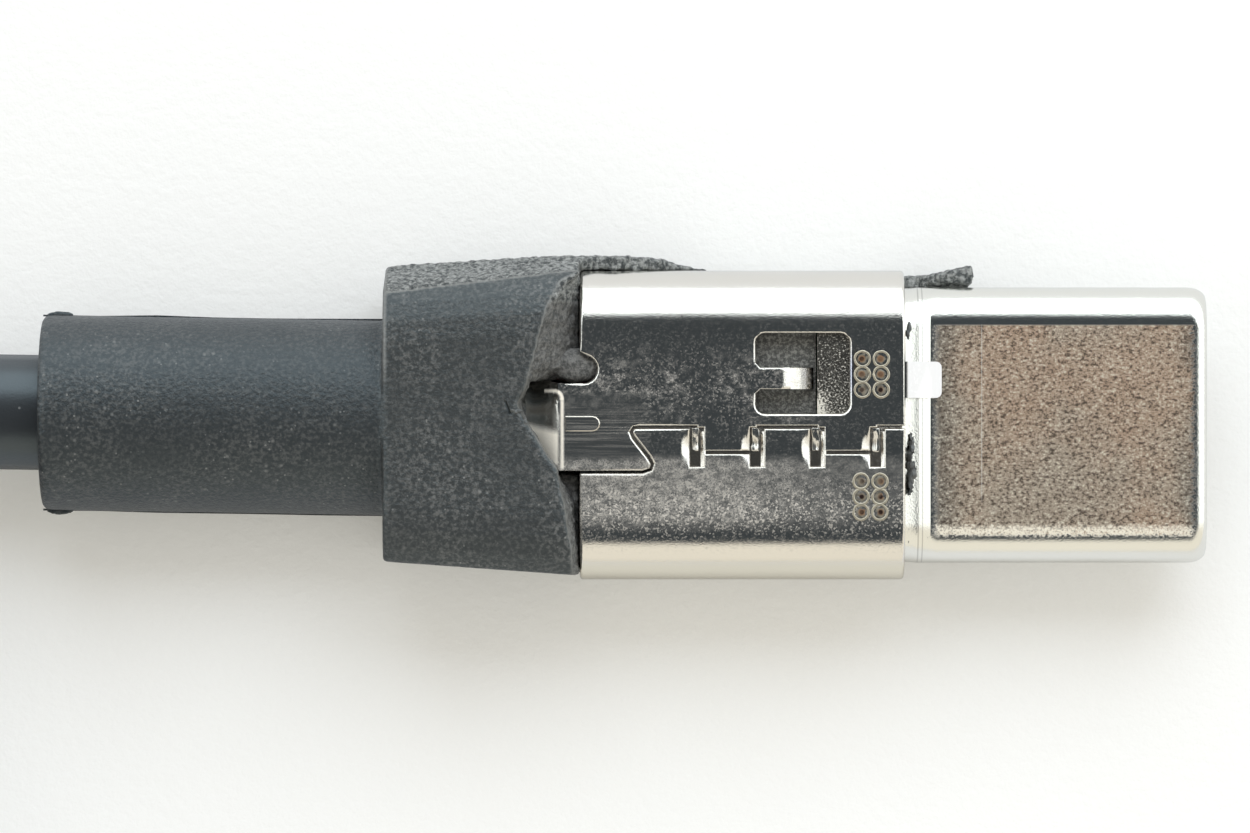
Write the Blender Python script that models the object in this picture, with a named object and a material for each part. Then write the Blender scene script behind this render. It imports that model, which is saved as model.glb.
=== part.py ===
"""A cable whose larger plug has had its rubber cut and torn open, with the small plug on its far end.

The plug lies along X with its mouth towards +X, and rests on the flap of rubber that is left under it.
The origin is on the plug's centreline, in the middle of its length, on the surface it rests on.
The cord leaves towards -X, runs to a hank beside it and ends in the micro plug.
"""

import math
import random

import bmesh
import bpy
from mathutils import Vector

MM = 0.001

# Clearances
seat = 0.03 * MM
cord_gap = 0.3 * MM

# Where the plug lies: the rear edge of the can and the height of the plug's axis
can_back_x = -1.35 * MM
axis_z = 3.05 * MM

# Front shell, a drawn tube with a rolled mouth, a bead, a neck and a skirt welded in the can
shell_width = 8.25 * MM
shell_height = 2.4 * MM
shell_wall = 0.2 * MM
shell_length = 8.49 * MM
shell_rim = 0.3 * MM
shell_flare_length = 0.7 * MM
bead_length = 0.21 * MM
bead_rise = 0.07 * MM
neck_length = 0.36 * MM
neck_step = 0.025 * MM
neck_width = shell_width - 2 * neck_step
neck_height = 2.6 * MM
skirt_length = 2.62 * MM
skirt_shoulder = 0.4 * MM

# Shield can, one folded sheet whose edges meet in an interlocked seam on top
can_length = 9.69 * MM
can_width = 9.25 * MM
can_height = 4.4 * MM
can_corner = 1.95 * MM
can_sheet = 0.22 * MM
seam_gap = 0.07 * MM
seam_upper_y = -0.06 * MM
seam_lower_y = -0.81 * MM
seam_slot_width = 0.4 * MM
seam_slot_reach = 0.42 * MM
seam_slot_first_x = 2.14 * MM
seam_slot_pitch = 1.79 * MM
seam_slot_count = 4
strip_width = 2.6 * MM
strip_upper_y = 1.24 * MM
strip_length = 0.51 * MM
notch_radius = 0.42 * MM
window_back_x = 3.89 * MM
window_length = 2.79 * MM
window_lower_y = 0.345 * MM
window_height = 2.385 * MM
window_corner = 0.27 * MM
tongue_width = 0.66 * MM
tongue_length = 1.72 * MM
tongue_centre_y = 1.39 * MM
tongue_drop = 0.42 * MM
tab_length = 1.1 * MM
tab_width = 1.08 * MM
tab_centre_y = 1.35 * MM
rib_length = 1.14 * MM
rib_width = 0.5 * MM
rib_rise = 0.1 * MM
rib_slant = 0.05 * MM

# Crimp at the end of the can's strip
crimp_radius = 1.3 * MM
crimp_wrap_deg = 152.0
crimp_length = 1.45 * MM
crimp_slope_length = 1.1 * MM

# Insulator and its mouth for the socket's tongue
insulator_height = 1.74 * MM
insulator_setback = 0.75 * MM
insulator_back = 0.25 * MM
mouth_side = 0.725 * MM
mouth_height = 0.86 * MM
mouth_depth = 5.9 * MM

# Contacts, stamped springs in two rows
contact_width = 0.24 * MM
contact_sheet = 0.12 * MM
contact_pitch = 0.5 * MM
contact_level = 0.64 * MM
contact_tip_level = 0.3 * MM

# Latch plate and ground springs
latch_sheet = 0.2 * MM
latch_arm_width = 0.22 * MM
latch_hook = 0.35 * MM
latch_bar_length = 0.7 * MM
ground_sheet = 0.08 * MM
ground_width = 5.2 * MM
ground_length = 6.5 * MM
ground_finger_count = 4
ground_finger_width = 0.7 * MM
ground_finger_drop = 0.4 * MM

# Paddle card and what is soldered to it
card_thickness = 0.8 * MM
card_width = 7.4 * MM
card_length = 7.6 * MM
card_back_x = -0.2 * MM
chip_length = 1.0 * MM
chip_width = 0.5 * MM
chip_height = 0.35 * MM

# Wires, braided core and inner mould
wire_radius = 0.42 * MM
wire_bundle_offset = 0.47 * MM
wire_pad_y = 1.6 * MM
wire_pad_reach = 1.9 * MM
core_front = 0.98 * MM
core_radius = 1.15 * MM
mould_height = 3.0 * MM
mould_setback = 0.55 * MM

# Overmould: sleeve, strain relief and the flap left of its lower half
overmould_thickness = 6.1 * MM
overmould_width = 10.2 * MM
overmould_back_width = 9.5 * MM
overmould_corner = 2.3 * MM
sleeve_back_x = -7.2 * MM
overmould_front_x = 10.45 * MM
relief_radius = 2.92 * MM
relief_length = 10.25 * MM
relief_lean_deg = 0.92
relief_centre_y = 0.21 * MM
flap_clear = 0.03 * MM
tear = 1.0 * MM
side_cut_back_y = 3.88 * MM
side_cut_front_y = 4.44 * MM
lower_cut_back_y = -4.02 * MM
lower_cut_front_y = -4.46 * MM

# Cord and hank
cord_radius = 1.725 * MM
jacket_end_x = -4.75 * MM
track_pitch = 3.52 * MM
hank_inner_radius = 10.35 * MM
hank_run = 62.15 * MM
hank_waist = 12.0 * MM
hank_layers = 3
hank_standoff = 6.0 * MM
hank_offset_y = -10.0 * MM
tie_width = 4.0 * MM
tie_sheet = 0.9 * MM
flank_steps = 12
round_steps = 12
lead_facet = 4
tail_facet = 7
tail_seat = 0.12 * MM

# Far plug
far_width = 10.6 * MM
far_height = 7.4 * MM
far_length = 17.0 * MM
far_corner = 2.0 * MM
far_relief_radius = 2.5 * MM
far_relief_length = 8.0 * MM
far_shell_width = 6.85 * MM
far_shell_height = 1.8 * MM
far_shell_wall = 0.25 * MM
far_shell_length = 6.8 * MM
far_shell_root = 4.0 * MM
far_shell_bevel = 0.75 * MM
far_contact_count = 5
far_contact_pitch = 0.65 * MM
far_contact_width = 0.3 * MM
far_contact_sheet = 0.14 * MM
far_hook_y = 2.3 * MM
far_hook_width = 0.5 * MM
far_hook_reach = 2.6 * MM
far_hook_rise = 0.32 * MM
far_hook_room = 0.1 * MM
far_spring_sheet = 0.16 * MM
far_tongue_sheet = 0.45 * MM
far_groove_level = 0.2 * MM
far_plug_shift = 6.0 * MM
far_plug_gap = 2.4 * MM

# Places worked out from the sizes
can_front_x = can_back_x + can_length
bead_x = can_front_x + neck_length
shell_back_x = bead_x + bead_length
shell_mouth_x = shell_back_x + shell_length
skirt_back_x = can_front_x - skirt_length
skirt_width = can_width - 2 * can_sheet - 2 * seat
skirt_height = can_height - 2 * can_sheet - 2 * seat
skirt_corner = can_corner - can_sheet - seat
can_top = can_height / 2
can_inner_top = can_top - can_sheet
insulator_front_x = shell_mouth_x - insulator_setback
insulator_back_x = shell_back_x - insulator_back
insulator_width = shell_width - 2 * shell_wall - 4 * seat
mouth_width = shell_width - 2 * mouth_side
mouth_back_x = insulator_front_x - mouth_depth
card_front_x = card_back_x + card_length
card_top = card_thickness / 2
relief_back_x = sleeve_back_x - relief_length
strip_lower_y = strip_upper_y - strip_width
strip_back_x = can_back_x - strip_length
crimp_front_x = strip_back_x - crimp_slope_length
crimp_back_x = crimp_front_x - crimp_length
hank_outer_radius = hank_inner_radius + track_pitch
hank_edge_radius = hank_outer_radius + cord_radius
hank_near_x = relief_back_x - hank_standoff
hank_centre_x = hank_near_x - hank_edge_radius - hank_run / 2
hank_pinch = hank_inner_radius - track_pitch / 2
hank_height = hank_layers * track_pitch
hank_waist_half = 1.5 * track_pitch + cord_radius


# Materials

def material(name, colour, roughness, metallic=0.0):
    made = bpy.data.materials.new(name)
    made.use_nodes = True
    shader = made.node_tree.nodes["Principled BSDF"]
    shader.inputs["Base Color"].default_value = (*colour, 1.0)
    shader.inputs["Roughness"].default_value = roughness
    shader.inputs["Metallic"].default_value = metallic
    return made


def make_materials():
    return {
        "nickel": material("nickel", (0.78, 0.76, 0.72), 0.22, 1.0),
        "satin_nickel": material("satin_nickel", (0.62, 0.58, 0.52), 0.4, 1.0),
        "gold": material("gold", (0.83, 0.62, 0.28), 0.25, 1.0),
        "spring_steel": material("spring_steel", (0.55, 0.54, 0.52), 0.3, 1.0),
        "rubber": material("rubber", (0.05, 0.055, 0.06), 0.75),
        "jacket": material("jacket", (0.045, 0.05, 0.055), 0.6),
        "black_plastic": material("black_plastic", (0.02, 0.02, 0.022), 0.45),
        "grey_mould": material("grey_mould", (0.09, 0.09, 0.09), 0.6),
        "card": material("card", (0.02, 0.12, 0.06), 0.5),
        "chip_black": material("chip_black", (0.03, 0.03, 0.03), 0.5),
        "chip_tan": material("chip_tan", (0.45, 0.33, 0.22), 0.5),
        "wire_red": material("wire_red", (0.6, 0.03, 0.03), 0.5),
        "wire_black": material("wire_black", (0.02, 0.02, 0.02), 0.5),
        "wire_green": material("wire_green", (0.03, 0.35, 0.1), 0.5),
        "wire_white": material("wire_white", (0.8, 0.8, 0.78), 0.5),
        "braid": material("braid", (0.6, 0.58, 0.55), 0.4, 1.0),
        "tie": material("tie", (0.04, 0.04, 0.045), 0.6),
    }


# Mesh tools

def new_object(name, mesh_data, finish, parent=None):
    bmesh.ops.recalc_face_normals(mesh_data, faces=mesh_data.faces)
    mesh = bpy.data.meshes.new(name)
    mesh_data.to_mesh(mesh)
    mesh_data.free()
    made = bpy.data.objects.new(name, mesh)
    bpy.context.scene.collection.objects.link(made)
    if finish is not None:
        mesh.materials.append(finish)
    if parent is not None:
        made.parent = parent
    return made


def smooth(made, angle_deg=35.0):
    made.data.shade_smooth()
    made.data.set_sharp_from_angle(angle=math.radians(angle_deg))
    return made


def loft_into(mesh_data, loops, ring=False):
    """Bridges loops of equal length. With ring, the last loop joins the first, as in a tube with a wall."""
    rows = [[mesh_data.verts.new(point) for point in loop] for loop in loops]
    count = len(rows[0])
    pairs = list(zip(rows, rows[1:]))
    if ring:
        pairs.append((rows[-1], rows[0]))
    for row, following in pairs:
        for i in range(count):
            j = (i + 1) % count
            mesh_data.faces.new((row[i], row[j], following[j], following[i]))
    if not ring:
        mesh_data.faces.new(rows[0])
        mesh_data.faces.new(rows[-1])


def loft(name, loops, finish, ring=False, parent=None):
    """Triangles keep each face flat, so that a cut through a bent form stays clean."""
    mesh_data = bmesh.new()
    loft_into(mesh_data, loops, ring)
    bmesh.ops.triangulate(mesh_data, faces=mesh_data.faces)
    return new_object(name, mesh_data, finish, parent)


def rounded_loop(x, width, height, corner, centre_y=0.0, centre_z=0.0, steps=8):
    """A rounded rectangle in the plane across X, as points round its edge."""
    corner = min(corner, width / 2, height / 2)
    points = []
    for sign_y, sign_z, start in ((1, 1, 0), (-1, 1, 90), (-1, -1, 180), (1, -1, 270)):
        for i in range(steps + 1):
            angle = math.radians(start + 90 * i / steps)
            y = sign_y * (width / 2 - corner) + corner * math.cos(angle)
            z = sign_z * (height / 2 - corner) + corner * math.sin(angle)
            points.append(Vector((x, centre_y + y, centre_z + z)))
    return points


def round_loop(x, radius, centre_y, centre_z, steps):
    """A circle in the plane across X, as points round its edge."""
    turns = [2 * math.pi * k / steps for k in range(steps)]
    return [Vector((x, centre_y + radius * math.cos(turn), centre_z + radius * math.sin(turn))) for turn in turns]


def prism_into(mesh_data, outline, low, high, plane="XY"):
    """Extrudes a flat outline along the axis that its plane leaves out."""
    place = {
        "XY": lambda u, v, w: Vector((u, v, w)),
        "XZ": lambda u, v, w: Vector((u, w, v)),
        "YZ": lambda u, v, w: Vector((w, u, v)),
    }[plane]
    loops = [[place(u, v, w) for u, v in outline] for w in (low, high)]
    loft_into(mesh_data, loops)


def prism(name, outline, low, high, finish, plane="XY", parent=None):
    mesh_data = bmesh.new()
    prism_into(mesh_data, outline, low, high, plane)
    return new_object(name, mesh_data, finish, parent)


def block_into(mesh_data, low, high):
    outline = [(low[0], low[1]), (high[0], low[1]), (high[0], high[1]), (low[0], high[1])]
    prism_into(mesh_data, outline, low[2], high[2])


def block(name, low, high, finish, parent=None):
    mesh_data = bmesh.new()
    block_into(mesh_data, low, high)
    return new_object(name, mesh_data, finish, parent)


def arc_points(centre, radius, start_deg, end_deg, steps):
    turned = []
    for i in range(steps + 1):
        angle = math.radians(start_deg + (end_deg - start_deg) * i / steps)
        turned.append((centre[0] + radius * math.cos(angle), centre[1] + radius * math.sin(angle)))
    return turned


def ribbon(points, width):
    """The outline of a band of one width along a line of points."""
    left, right = [], []
    last = len(points) - 1
    for i, point in enumerate(points):
        here = Vector(point)
        before = (here - Vector(points[i - 1])).normalized() if i > 0 else None
        after = (Vector(points[i + 1]) - here).normalized() if i < last else None
        along = ((before or after) + (after or before)).normalized()
        across = Vector((-along.y, along.x))
        stretch = 1.0 / max(0.5, along.dot(after or before))
        left.append(tuple(here + across * (width / 2 * stretch)))
        right.append(tuple(here - across * (width / 2 * stretch)))
    return left + right[::-1]


def sweep_into(mesh_data, points, radius, sides=10):
    """A round bar along a line of points, with flat ends."""
    points = [Vector(point) for point in points]
    loops = []
    across = None
    for i, point in enumerate(points):
        along = (points[min(i + 1, len(points) - 1)] - points[max(i - 1, 0)]).normalized()
        if across is None:
            across = along.cross(Vector((0.0, 1.0, 0.0))).normalized()
        across = (across - along * across.dot(along)).normalized()
        other = along.cross(across)
        turns = [2 * math.pi * k / sides for k in range(sides)]
        loops.append([point + (across * math.cos(turn) + other * math.sin(turn)) * radius for turn in turns])
    loft_into(mesh_data, loops)


def sweep(name, points, radius, finish, sides=10, parent=None):
    mesh_data = bmesh.new()
    sweep_into(mesh_data, points, radius, sides)
    return smooth(new_object(name, mesh_data, finish, parent))


def smooth_line(points, steps):
    """Points on a smooth curve through the given ones."""
    points = [Vector(point) for point in points]
    padded = [2 * points[0] - points[1]] + points + [2 * points[-1] - points[-2]]
    curve = []
    for i in range(1, len(padded) - 2):
        p0, p1, p2, p3 = padded[i - 1:i + 3]
        for k in range(steps):
            t = k / steps
            curve.append(
                0.5 * (2 * p1 + (p2 - p0) * t + (2 * p0 - 5 * p1 + 4 * p2 - p3) * t * t
                       + (3 * p1 - p0 - 3 * p2 + p3) * t * t * t)
            )
    curve.append(points[-1])
    return curve


def cut(target, cutter, operation="DIFFERENCE"):
    cutter.hide_render = True
    cutter.display_type = "WIRE"
    change = target.modifiers.new(cutter.name, "BOOLEAN")
    change.operation = operation
    change.solver = "EXACT"
    change.object = cutter


# Front shell

def shell_stations():
    """Outer sections of the front shell from the skirt's rear edge to the mouth: x, width, height, corner."""
    sections = [
        (skirt_back_x, skirt_width, skirt_height, skirt_corner),
        (can_front_x - skirt_shoulder, skirt_width, skirt_height, skirt_corner),
        (can_front_x - skirt_shoulder / 4, neck_width, neck_height, neck_height / 2),
        (bead_x, neck_width, neck_height, neck_height / 2),
    ]
    for x in (bead_x + bead_length / 4, shell_back_x - bead_length / 4):
        height = neck_height + 2 * bead_rise
        sections.append((x, neck_width + 2 * bead_rise, height, height / 2))
    for share in (0.0, 0.25, 0.6, 1.0):
        height = shell_height + (neck_height - shell_height) * (1 - share) ** 2
        sections.append((shell_back_x + shell_flare_length * share, shell_width, height, height / 2))
    curl = 0.8 * shell_wall
    for angle in (0, 35, 65, 90):
        x = shell_mouth_x - shell_rim * (1 - math.sin(math.radians(angle)))
        inset = curl * (1 - math.cos(math.radians(angle)))
        height = shell_height - 2 * inset
        sections.append((x, shell_width - 2 * inset, height, height / 2))
    return sections


def make_front_shell(finish):
    outer = shell_stations()
    loops = [rounded_loop(x, w, h, c - 1e-6, 0, axis_z) for x, w, h, c in outer]
    lip = shell_wall * 1.05
    inner = [(shell_mouth_x - 0.02 * MM, shell_width - 2 * lip, shell_height - 2 * lip)]
    for x, w, h, c in reversed(outer[:-1]):
        if x > shell_mouth_x - shell_rim * 0.9:
            continue
        inner.append((x, w - 2 * shell_wall, h - 2 * shell_wall))
    for x, w, h in inner:
        corner = h / 2 if h < skirt_height - 2 * shell_wall - 1e-6 else skirt_corner - shell_wall
        loops.append(rounded_loop(x, w, h, corner - 1e-6, 0, axis_z))
    return smooth(loft("front_shell", loops, finish, ring=True), 40)


# Shield can

def can_tube(name, back, front, finish):
    sections = []
    for x, inset in ((back, 0.0), (front, 0.0), (front, can_sheet), (back, can_sheet)):
        width = can_width - 2 * inset
        height = can_height - 2 * inset
        sections.append(rounded_loop(x, width, height, can_corner - inset, 0, axis_z, steps=9))
    return loft(name, sections, finish, ring=True)


def seam_cutter():
    """The gap of the interlocked seam: a dovetail at the rear, then steps through upright slots."""
    mesh_data = bmesh.new()
    low = axis_z + can_inner_top - 0.3 * MM
    high = axis_z + can_top + 0.3 * MM
    dovetail_foot = seam_slot_first_x - 1.32 * MM
    dovetail_neck = dovetail_foot - 0.62 * MM
    start = [
        (strip_back_x - 0.2 * MM, strip_lower_y - seam_gap / 2),
        (dovetail_foot - 0.3 * MM, strip_lower_y - seam_gap / 2),
        (dovetail_foot - 0.06 * MM, strip_lower_y + 0.04 * MM),
        (dovetail_foot, strip_lower_y + 0.2 * MM),
        (dovetail_foot - 0.12 * MM, strip_lower_y + 0.42 * MM),
        (dovetail_neck + 0.06 * MM, seam_upper_y - 0.32 * MM),
        (dovetail_neck - 0.02 * MM, seam_upper_y - 0.15 * MM),
        (dovetail_neck + 0.06 * MM, seam_upper_y - 0.02 * MM),
        (dovetail_neck + 0.24 * MM, seam_upper_y),
        (seam_slot_first_x, seam_upper_y),
    ]
    prism_into(mesh_data, ribbon(start, seam_gap), low, high)
    for i in range(seam_slot_count):
        slot_x = seam_slot_first_x + i * seam_slot_pitch
        level = seam_lower_y if i % 2 == 0 else seam_upper_y
        end = slot_x + seam_slot_pitch if i < seam_slot_count - 1 else can_front_x + 0.2 * MM
        prism_into(mesh_data, ribbon([(slot_x, level), (end, level)], seam_gap), low, high)
    return new_object("seam_gap_cutter", mesh_data, None)


def seam_slot_cutter():
    mesh_data = bmesh.new()
    low = axis_z + can_inner_top - 0.2 * MM
    high = axis_z + can_top + 0.2 * MM
    for i in range(seam_slot_count):
        slot_x = seam_slot_first_x + i * seam_slot_pitch
        block_into(
            mesh_data,
            (slot_x - seam_slot_width / 2, seam_lower_y - seam_slot_reach, low),
            (slot_x + seam_slot_width / 2, seam_upper_y - seam_gap / 2 + 0.01 * MM, high),
        )
    return new_object("seam_slot_cutter", mesh_data, None)


def window_outline():
    """The window with the tongue left standing in from its rear side."""
    back, front = window_back_x, window_back_x + window_length
    lower, upper = window_lower_y, window_lower_y + window_height
    r = window_corner
    tongue_low = tongue_centre_y - tongue_width / 2
    tongue_high = tongue_centre_y + tongue_width / 2
    tip = back + tongue_length
    outline = arc_points((back + r, lower + r), r, 180, 270, 4)
    outline += arc_points((front - r, lower + r), r, 270, 360, 4)
    outline += arc_points((front - r, upper - r), r, 0, 90, 4)
    outline += arc_points((back + r, upper - r), r, 90, 180, 4)
    outline += [(back, tongue_high + r / 2), (back + r / 2, tongue_high)]
    outline += [(tip, tongue_high), (tip, tongue_low)]
    outline += [(back + r / 2, tongue_low), (back, tongue_low - r / 2)]
    return outline


def tongue_profile():
    """The lanced tongue seen from the side: flat, then bent down to its tip."""
    root = window_back_x + tongue_length * 0.55
    tip = window_back_x + tongue_length
    top, bottom = [], []
    for i in range(6):
        share = i / 5
        x = root + (tip - root) * share
        drop = tongue_drop * share * share
        top.append((x, axis_z + can_top - 0.01 * MM - drop))
        bottom.append((x, axis_z + can_inner_top + 0.01 * MM - drop))
    return [(root - 0.3 * MM, top[0][1])] + top + bottom[::-1] + [(root - 0.3 * MM, bottom[0][1])]


def tab_profile():
    """The tab at the can's front edge, bent down on to the neck of the front shell."""
    top = axis_z + can_top - 0.01 * MM
    bottom = axis_z + can_inner_top + 0.01 * MM
    tip = can_front_x + tab_length
    rest = axis_z + neck_height / 2 + bead_rise + seat
    upper = [(can_front_x - 0.3 * MM, top), (can_front_x + 0.1 * MM, top - 0.02 * MM)]
    foot = rest + can_sheet
    upper += [(tip - 0.45 * MM, foot + 0.12 * MM), (tip - 0.2 * MM, foot), (tip, foot)]
    lower = [(tip, rest), (tip - 0.28 * MM, rest), (tip - 0.55 * MM, rest + 0.08 * MM)]
    lower += [(can_front_x + 0.05 * MM, bottom - 0.06 * MM), (can_front_x - 0.3 * MM, bottom)]
    return upper + lower


def strip_section(x, wrap_deg, radius, drop, thickness, count=9):
    """A section of the strip: flat when wrap_deg is 0, else bent round the cord's core."""
    centre_y = (strip_upper_y + strip_lower_y) / 2
    outer, inner = [], []
    for i in range(count):
        share = 2 * i / (count - 1) - 1
        if wrap_deg > 0:
            angle = math.radians(wrap_deg * share)
            centre = Vector((x, relief_y(x), axis_z))
            ring = Vector((0.0, math.sin(angle), math.cos(angle)))
            outer.append(centre + ring * (radius + thickness))
            inner.append(centre + ring * radius)
        else:
            y = centre_y + share * strip_width / 2
            outer.append(Vector((x, y, axis_z + can_top - 0.01 * MM - drop)))
            inner.append(Vector((x, y, axis_z + can_top - 0.01 * MM - drop - thickness)))
    return outer + inner[::-1]


def relief_y(x):
    """The cord's centreline leans a little towards +Y as it leaves."""
    return relief_centre_y + math.tan(math.radians(relief_lean_deg)) * (sleeve_back_x - x)


def blend_sections(first, second, share):
    return [a.lerp(b, share) for a, b in zip(first, second)]


def strip_neck():
    thickness = can_sheet - 0.02 * MM
    flat = strip_section(strip_back_x, 0, 0, 0.0, thickness)
    bent = strip_section(strip_back_x, 62, crimp_radius, 0.0, thickness)
    mesh_data = bmesh.new()
    loops = []
    bends = ((-0.12, 0.0), (0.0, 0.0), (0.12, 0.04), (0.3, 0.22), (0.55, 0.6), (0.8, 0.92), (1.0, 1.0), (1.1, 1.0))
    for share, bend in bends:
        shift = Vector((-crimp_slope_length * share, 0.0, 0.0))
        loops.append([point + shift for point in blend_sections(flat, bent, bend)])
    loft_into(mesh_data, loops)
    return new_object("strip_neck_form", mesh_data, None)


def crimp_ring():
    thickness = can_sheet
    loops = []
    for x in (crimp_front_x, crimp_back_x):
        loops.append(strip_section(x, crimp_wrap_deg, crimp_radius - 0.01 * MM, 0.0, thickness, count=19))
    mesh_data = bmesh.new()
    loft_into(mesh_data, loops)
    return new_object("crimp_ring_form", mesh_data, None)


def rear_edge_cutter():
    """Cuts the tube back to the can's rear edge, all but the strip on top, and the round notch beside it."""
    back = strip_back_x - 0.5 * MM
    low, high = axis_z + can_top - 0.6 * MM, axis_z + can_top + 0.5 * MM
    mesh_data = bmesh.new()
    notch_centre = (can_back_x + 0.1 * MM, strip_upper_y + notch_radius)
    upper = [(back, strip_upper_y), (can_back_x - 0.3 * MM, strip_upper_y)]
    upper += arc_points(notch_centre, notch_radius, -90, 76, 9)
    notch_end = notch_centre[1] + notch_radius + 0.1 * MM
    upper += [(can_back_x, notch_end), (can_back_x, can_width), (back, can_width)]
    prism_into(mesh_data, upper, low, high)
    lower = [(back, strip_lower_y), (can_back_x, strip_lower_y), (can_back_x, -can_width), (back, -can_width)]
    prism_into(mesh_data, lower[::-1], low, high)
    return new_object("rear_edge_cutter", mesh_data, None)


def make_shield_can(finish):
    can = can_tube("shield_can", strip_back_x, can_front_x, finish)
    back = strip_back_x - 0.5 * MM
    under_top = axis_z + can_top - 0.55 * MM
    under = block("rear_under_cutter", (back, -can_width, -can_height), (can_back_x, can_width, under_top), None)
    cut(can, under)
    cut(can, rear_edge_cutter())
    low, high = axis_z + can_inner_top - 0.25 * MM, axis_z + can_top + 0.25 * MM
    cut(can, prism("window_cutter", window_outline(), low, high, None))
    bend_x = window_back_x + tongue_length * 0.6
    tongue_half = tongue_width / 2 + 0.05 * MM
    cut(can, block(
        "tongue_end_cutter",
        (bend_x, tongue_centre_y - tongue_half, low),
        (window_back_x + tongue_length + 0.05 * MM, tongue_centre_y + tongue_half, high), None))
    cut(can, seam_cutter())
    cut(can, seam_slot_cutter())
    half = tongue_width / 2 - 0.01 * MM
    tongue = prism("tongue_form", tongue_profile(), tongue_centre_y - half, tongue_centre_y + half, None, "XZ")
    cut(can, tongue, "UNION")
    half = tab_width / 2
    tab = prism("tab_form", tab_profile(), tab_centre_y - half, tab_centre_y + half, None, "XZ")
    cut(can, tab, "UNION")
    cut(can, strip_neck(), "UNION")
    cut(can, crimp_ring(), "UNION")
    cut(can, strip_rib(), "UNION")
    return smooth(can, 30)


def strip_rib():
    """A pressed stiffening rib along the strip, with a round nose."""
    front = strip_back_x + rib_length
    centre_y = strip_upper_y - strip_width / 2 + 0.1 * MM
    base = axis_z + can_top - 0.05 * MM
    back = strip_back_x + 2 * seat
    top = axis_z + can_top
    loops = []
    for z, inset in ((base, 0.0), (top + rib_rise * 0.7, rib_slant / 2), (top + rib_rise, rib_slant)):
        half = rib_width / 2 - inset
        plan = [(back + inset, centre_y + half), (back + inset, centre_y - half)]
        plan += arc_points((front - rib_width / 2, centre_y), half, -90, 90, 6)
        loops.append([Vector((x, y, z)) for x, y in plan])
    return loft("strip_rib_form", loops, None)


# Insulator, contacts, latch plate and ground springs

def contact_places():
    """Name, y and side of each contact: the upper row holds seven and the lower row five."""
    half_row = 5.5 * contact_pitch
    places = []
    for number in (1, 4, 5, 6, 7, 9, 12):
        places.append((f"contact_upper_{number}", half_row - (number - 1) * contact_pitch, 1))
    for number in (1, 4, 5, 9, 12):
        places.append((f"contact_lower_{number}", -half_row + (number - 1) * contact_pitch, -1))
    return places


def contact_line():
    """Centreline of a contact seen from the side: x and height over the plug's axis."""
    tail_level = card_top + seat + contact_sheet / 2
    return [
        (card_front_x - 1.3 * MM, tail_level),
        (card_front_x - 0.1 * MM, tail_level),
        (insulator_back_x - 0.45 * MM, contact_level + contact_sheet / 2),
        (mouth_back_x + 1.0 * MM, contact_level + contact_sheet / 2),
        (insulator_front_x - 2.6 * MM, contact_tip_level + 0.26 * MM),
        (insulator_front_x - 1.15 * MM, contact_tip_level + contact_sheet / 2 + 0.02 * MM),
        (insulator_front_x - 0.85 * MM, contact_tip_level + contact_sheet / 2),
        (insulator_front_x - 0.5 * MM, contact_tip_level + 0.2 * MM),
    ]


def make_contacts(finish):
    outline = ribbon(contact_line(), contact_sheet)
    for name, y, side in contact_places():
        flipped = [(x, axis_z + side * z) for x, z in outline]
        prism(name, flipped, y - contact_width / 2, y + contact_width / 2, finish, "XZ")


def make_insulator(finish):
    loops = [
        rounded_loop(x, insulator_width, insulator_height, insulator_height / 2 - 1e-6, 0, axis_z)
        for x in (insulator_back_x, insulator_front_x)
    ]
    body = loft("insulator", loops, finish)
    mouth = block(
        "mouth_cutter",
        (mouth_back_x, -mouth_width / 2, axis_z - mouth_height / 2),
        (insulator_front_x + 0.2 * MM, mouth_width / 2, axis_z + mouth_height / 2), None)
    cut(body, mouth)
    slots = bmesh.new()
    half = contact_width / 2 + seat
    slot_end = 0.3 * MM
    slot_inner_level = contact_tip_level + 0.02 * MM
    slot_outer_level = contact_level + contact_sheet + seat
    for _, y, side in contact_places():
        levels = sorted((axis_z + side * slot_inner_level, axis_z + side * slot_outer_level))
        low = (mouth_back_x + slot_end, y - half, levels[0])
        high = (insulator_front_x - slot_end, y + half, levels[1])
        block_into(slots, low, high)
    cut(body, new_object("contact_slot_cutter", slots, None))
    bores = bmesh.new()
    for _, y, side in contact_places():
        levels = sorted((axis_z + side * (contact_level - 0.05 * MM), axis_z + side * slot_outer_level))
        low = (insulator_back_x - 0.2 * MM, y - half, levels[0])
        high = (mouth_back_x + slot_end + 0.1 * MM, y + half, levels[1])
        block_into(bores, low, high)
    cut(body, new_object("contact_bore_cutter", bores, None))
    grooves = bmesh.new()
    arm_outer = latch_arm_y() + latch_arm_width / 2 + seat
    for side in (1, -1):
        sides = sorted((side * (mouth_width / 2 - 0.1 * MM), side * arm_outer))
        block_into(
            grooves,
            (insulator_back_x - 0.1 * MM, sides[0], axis_z - latch_sheet / 2 - seat),
            (insulator_front_x + 0.1 * MM, sides[1], axis_z + latch_sheet / 2 + seat))
    cut(body, new_object("latch_groove_cutter", grooves, None))
    return smooth(body, 30)


def latch_arm_y():
    return mouth_width / 2 + latch_arm_width / 2 + seat


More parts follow.
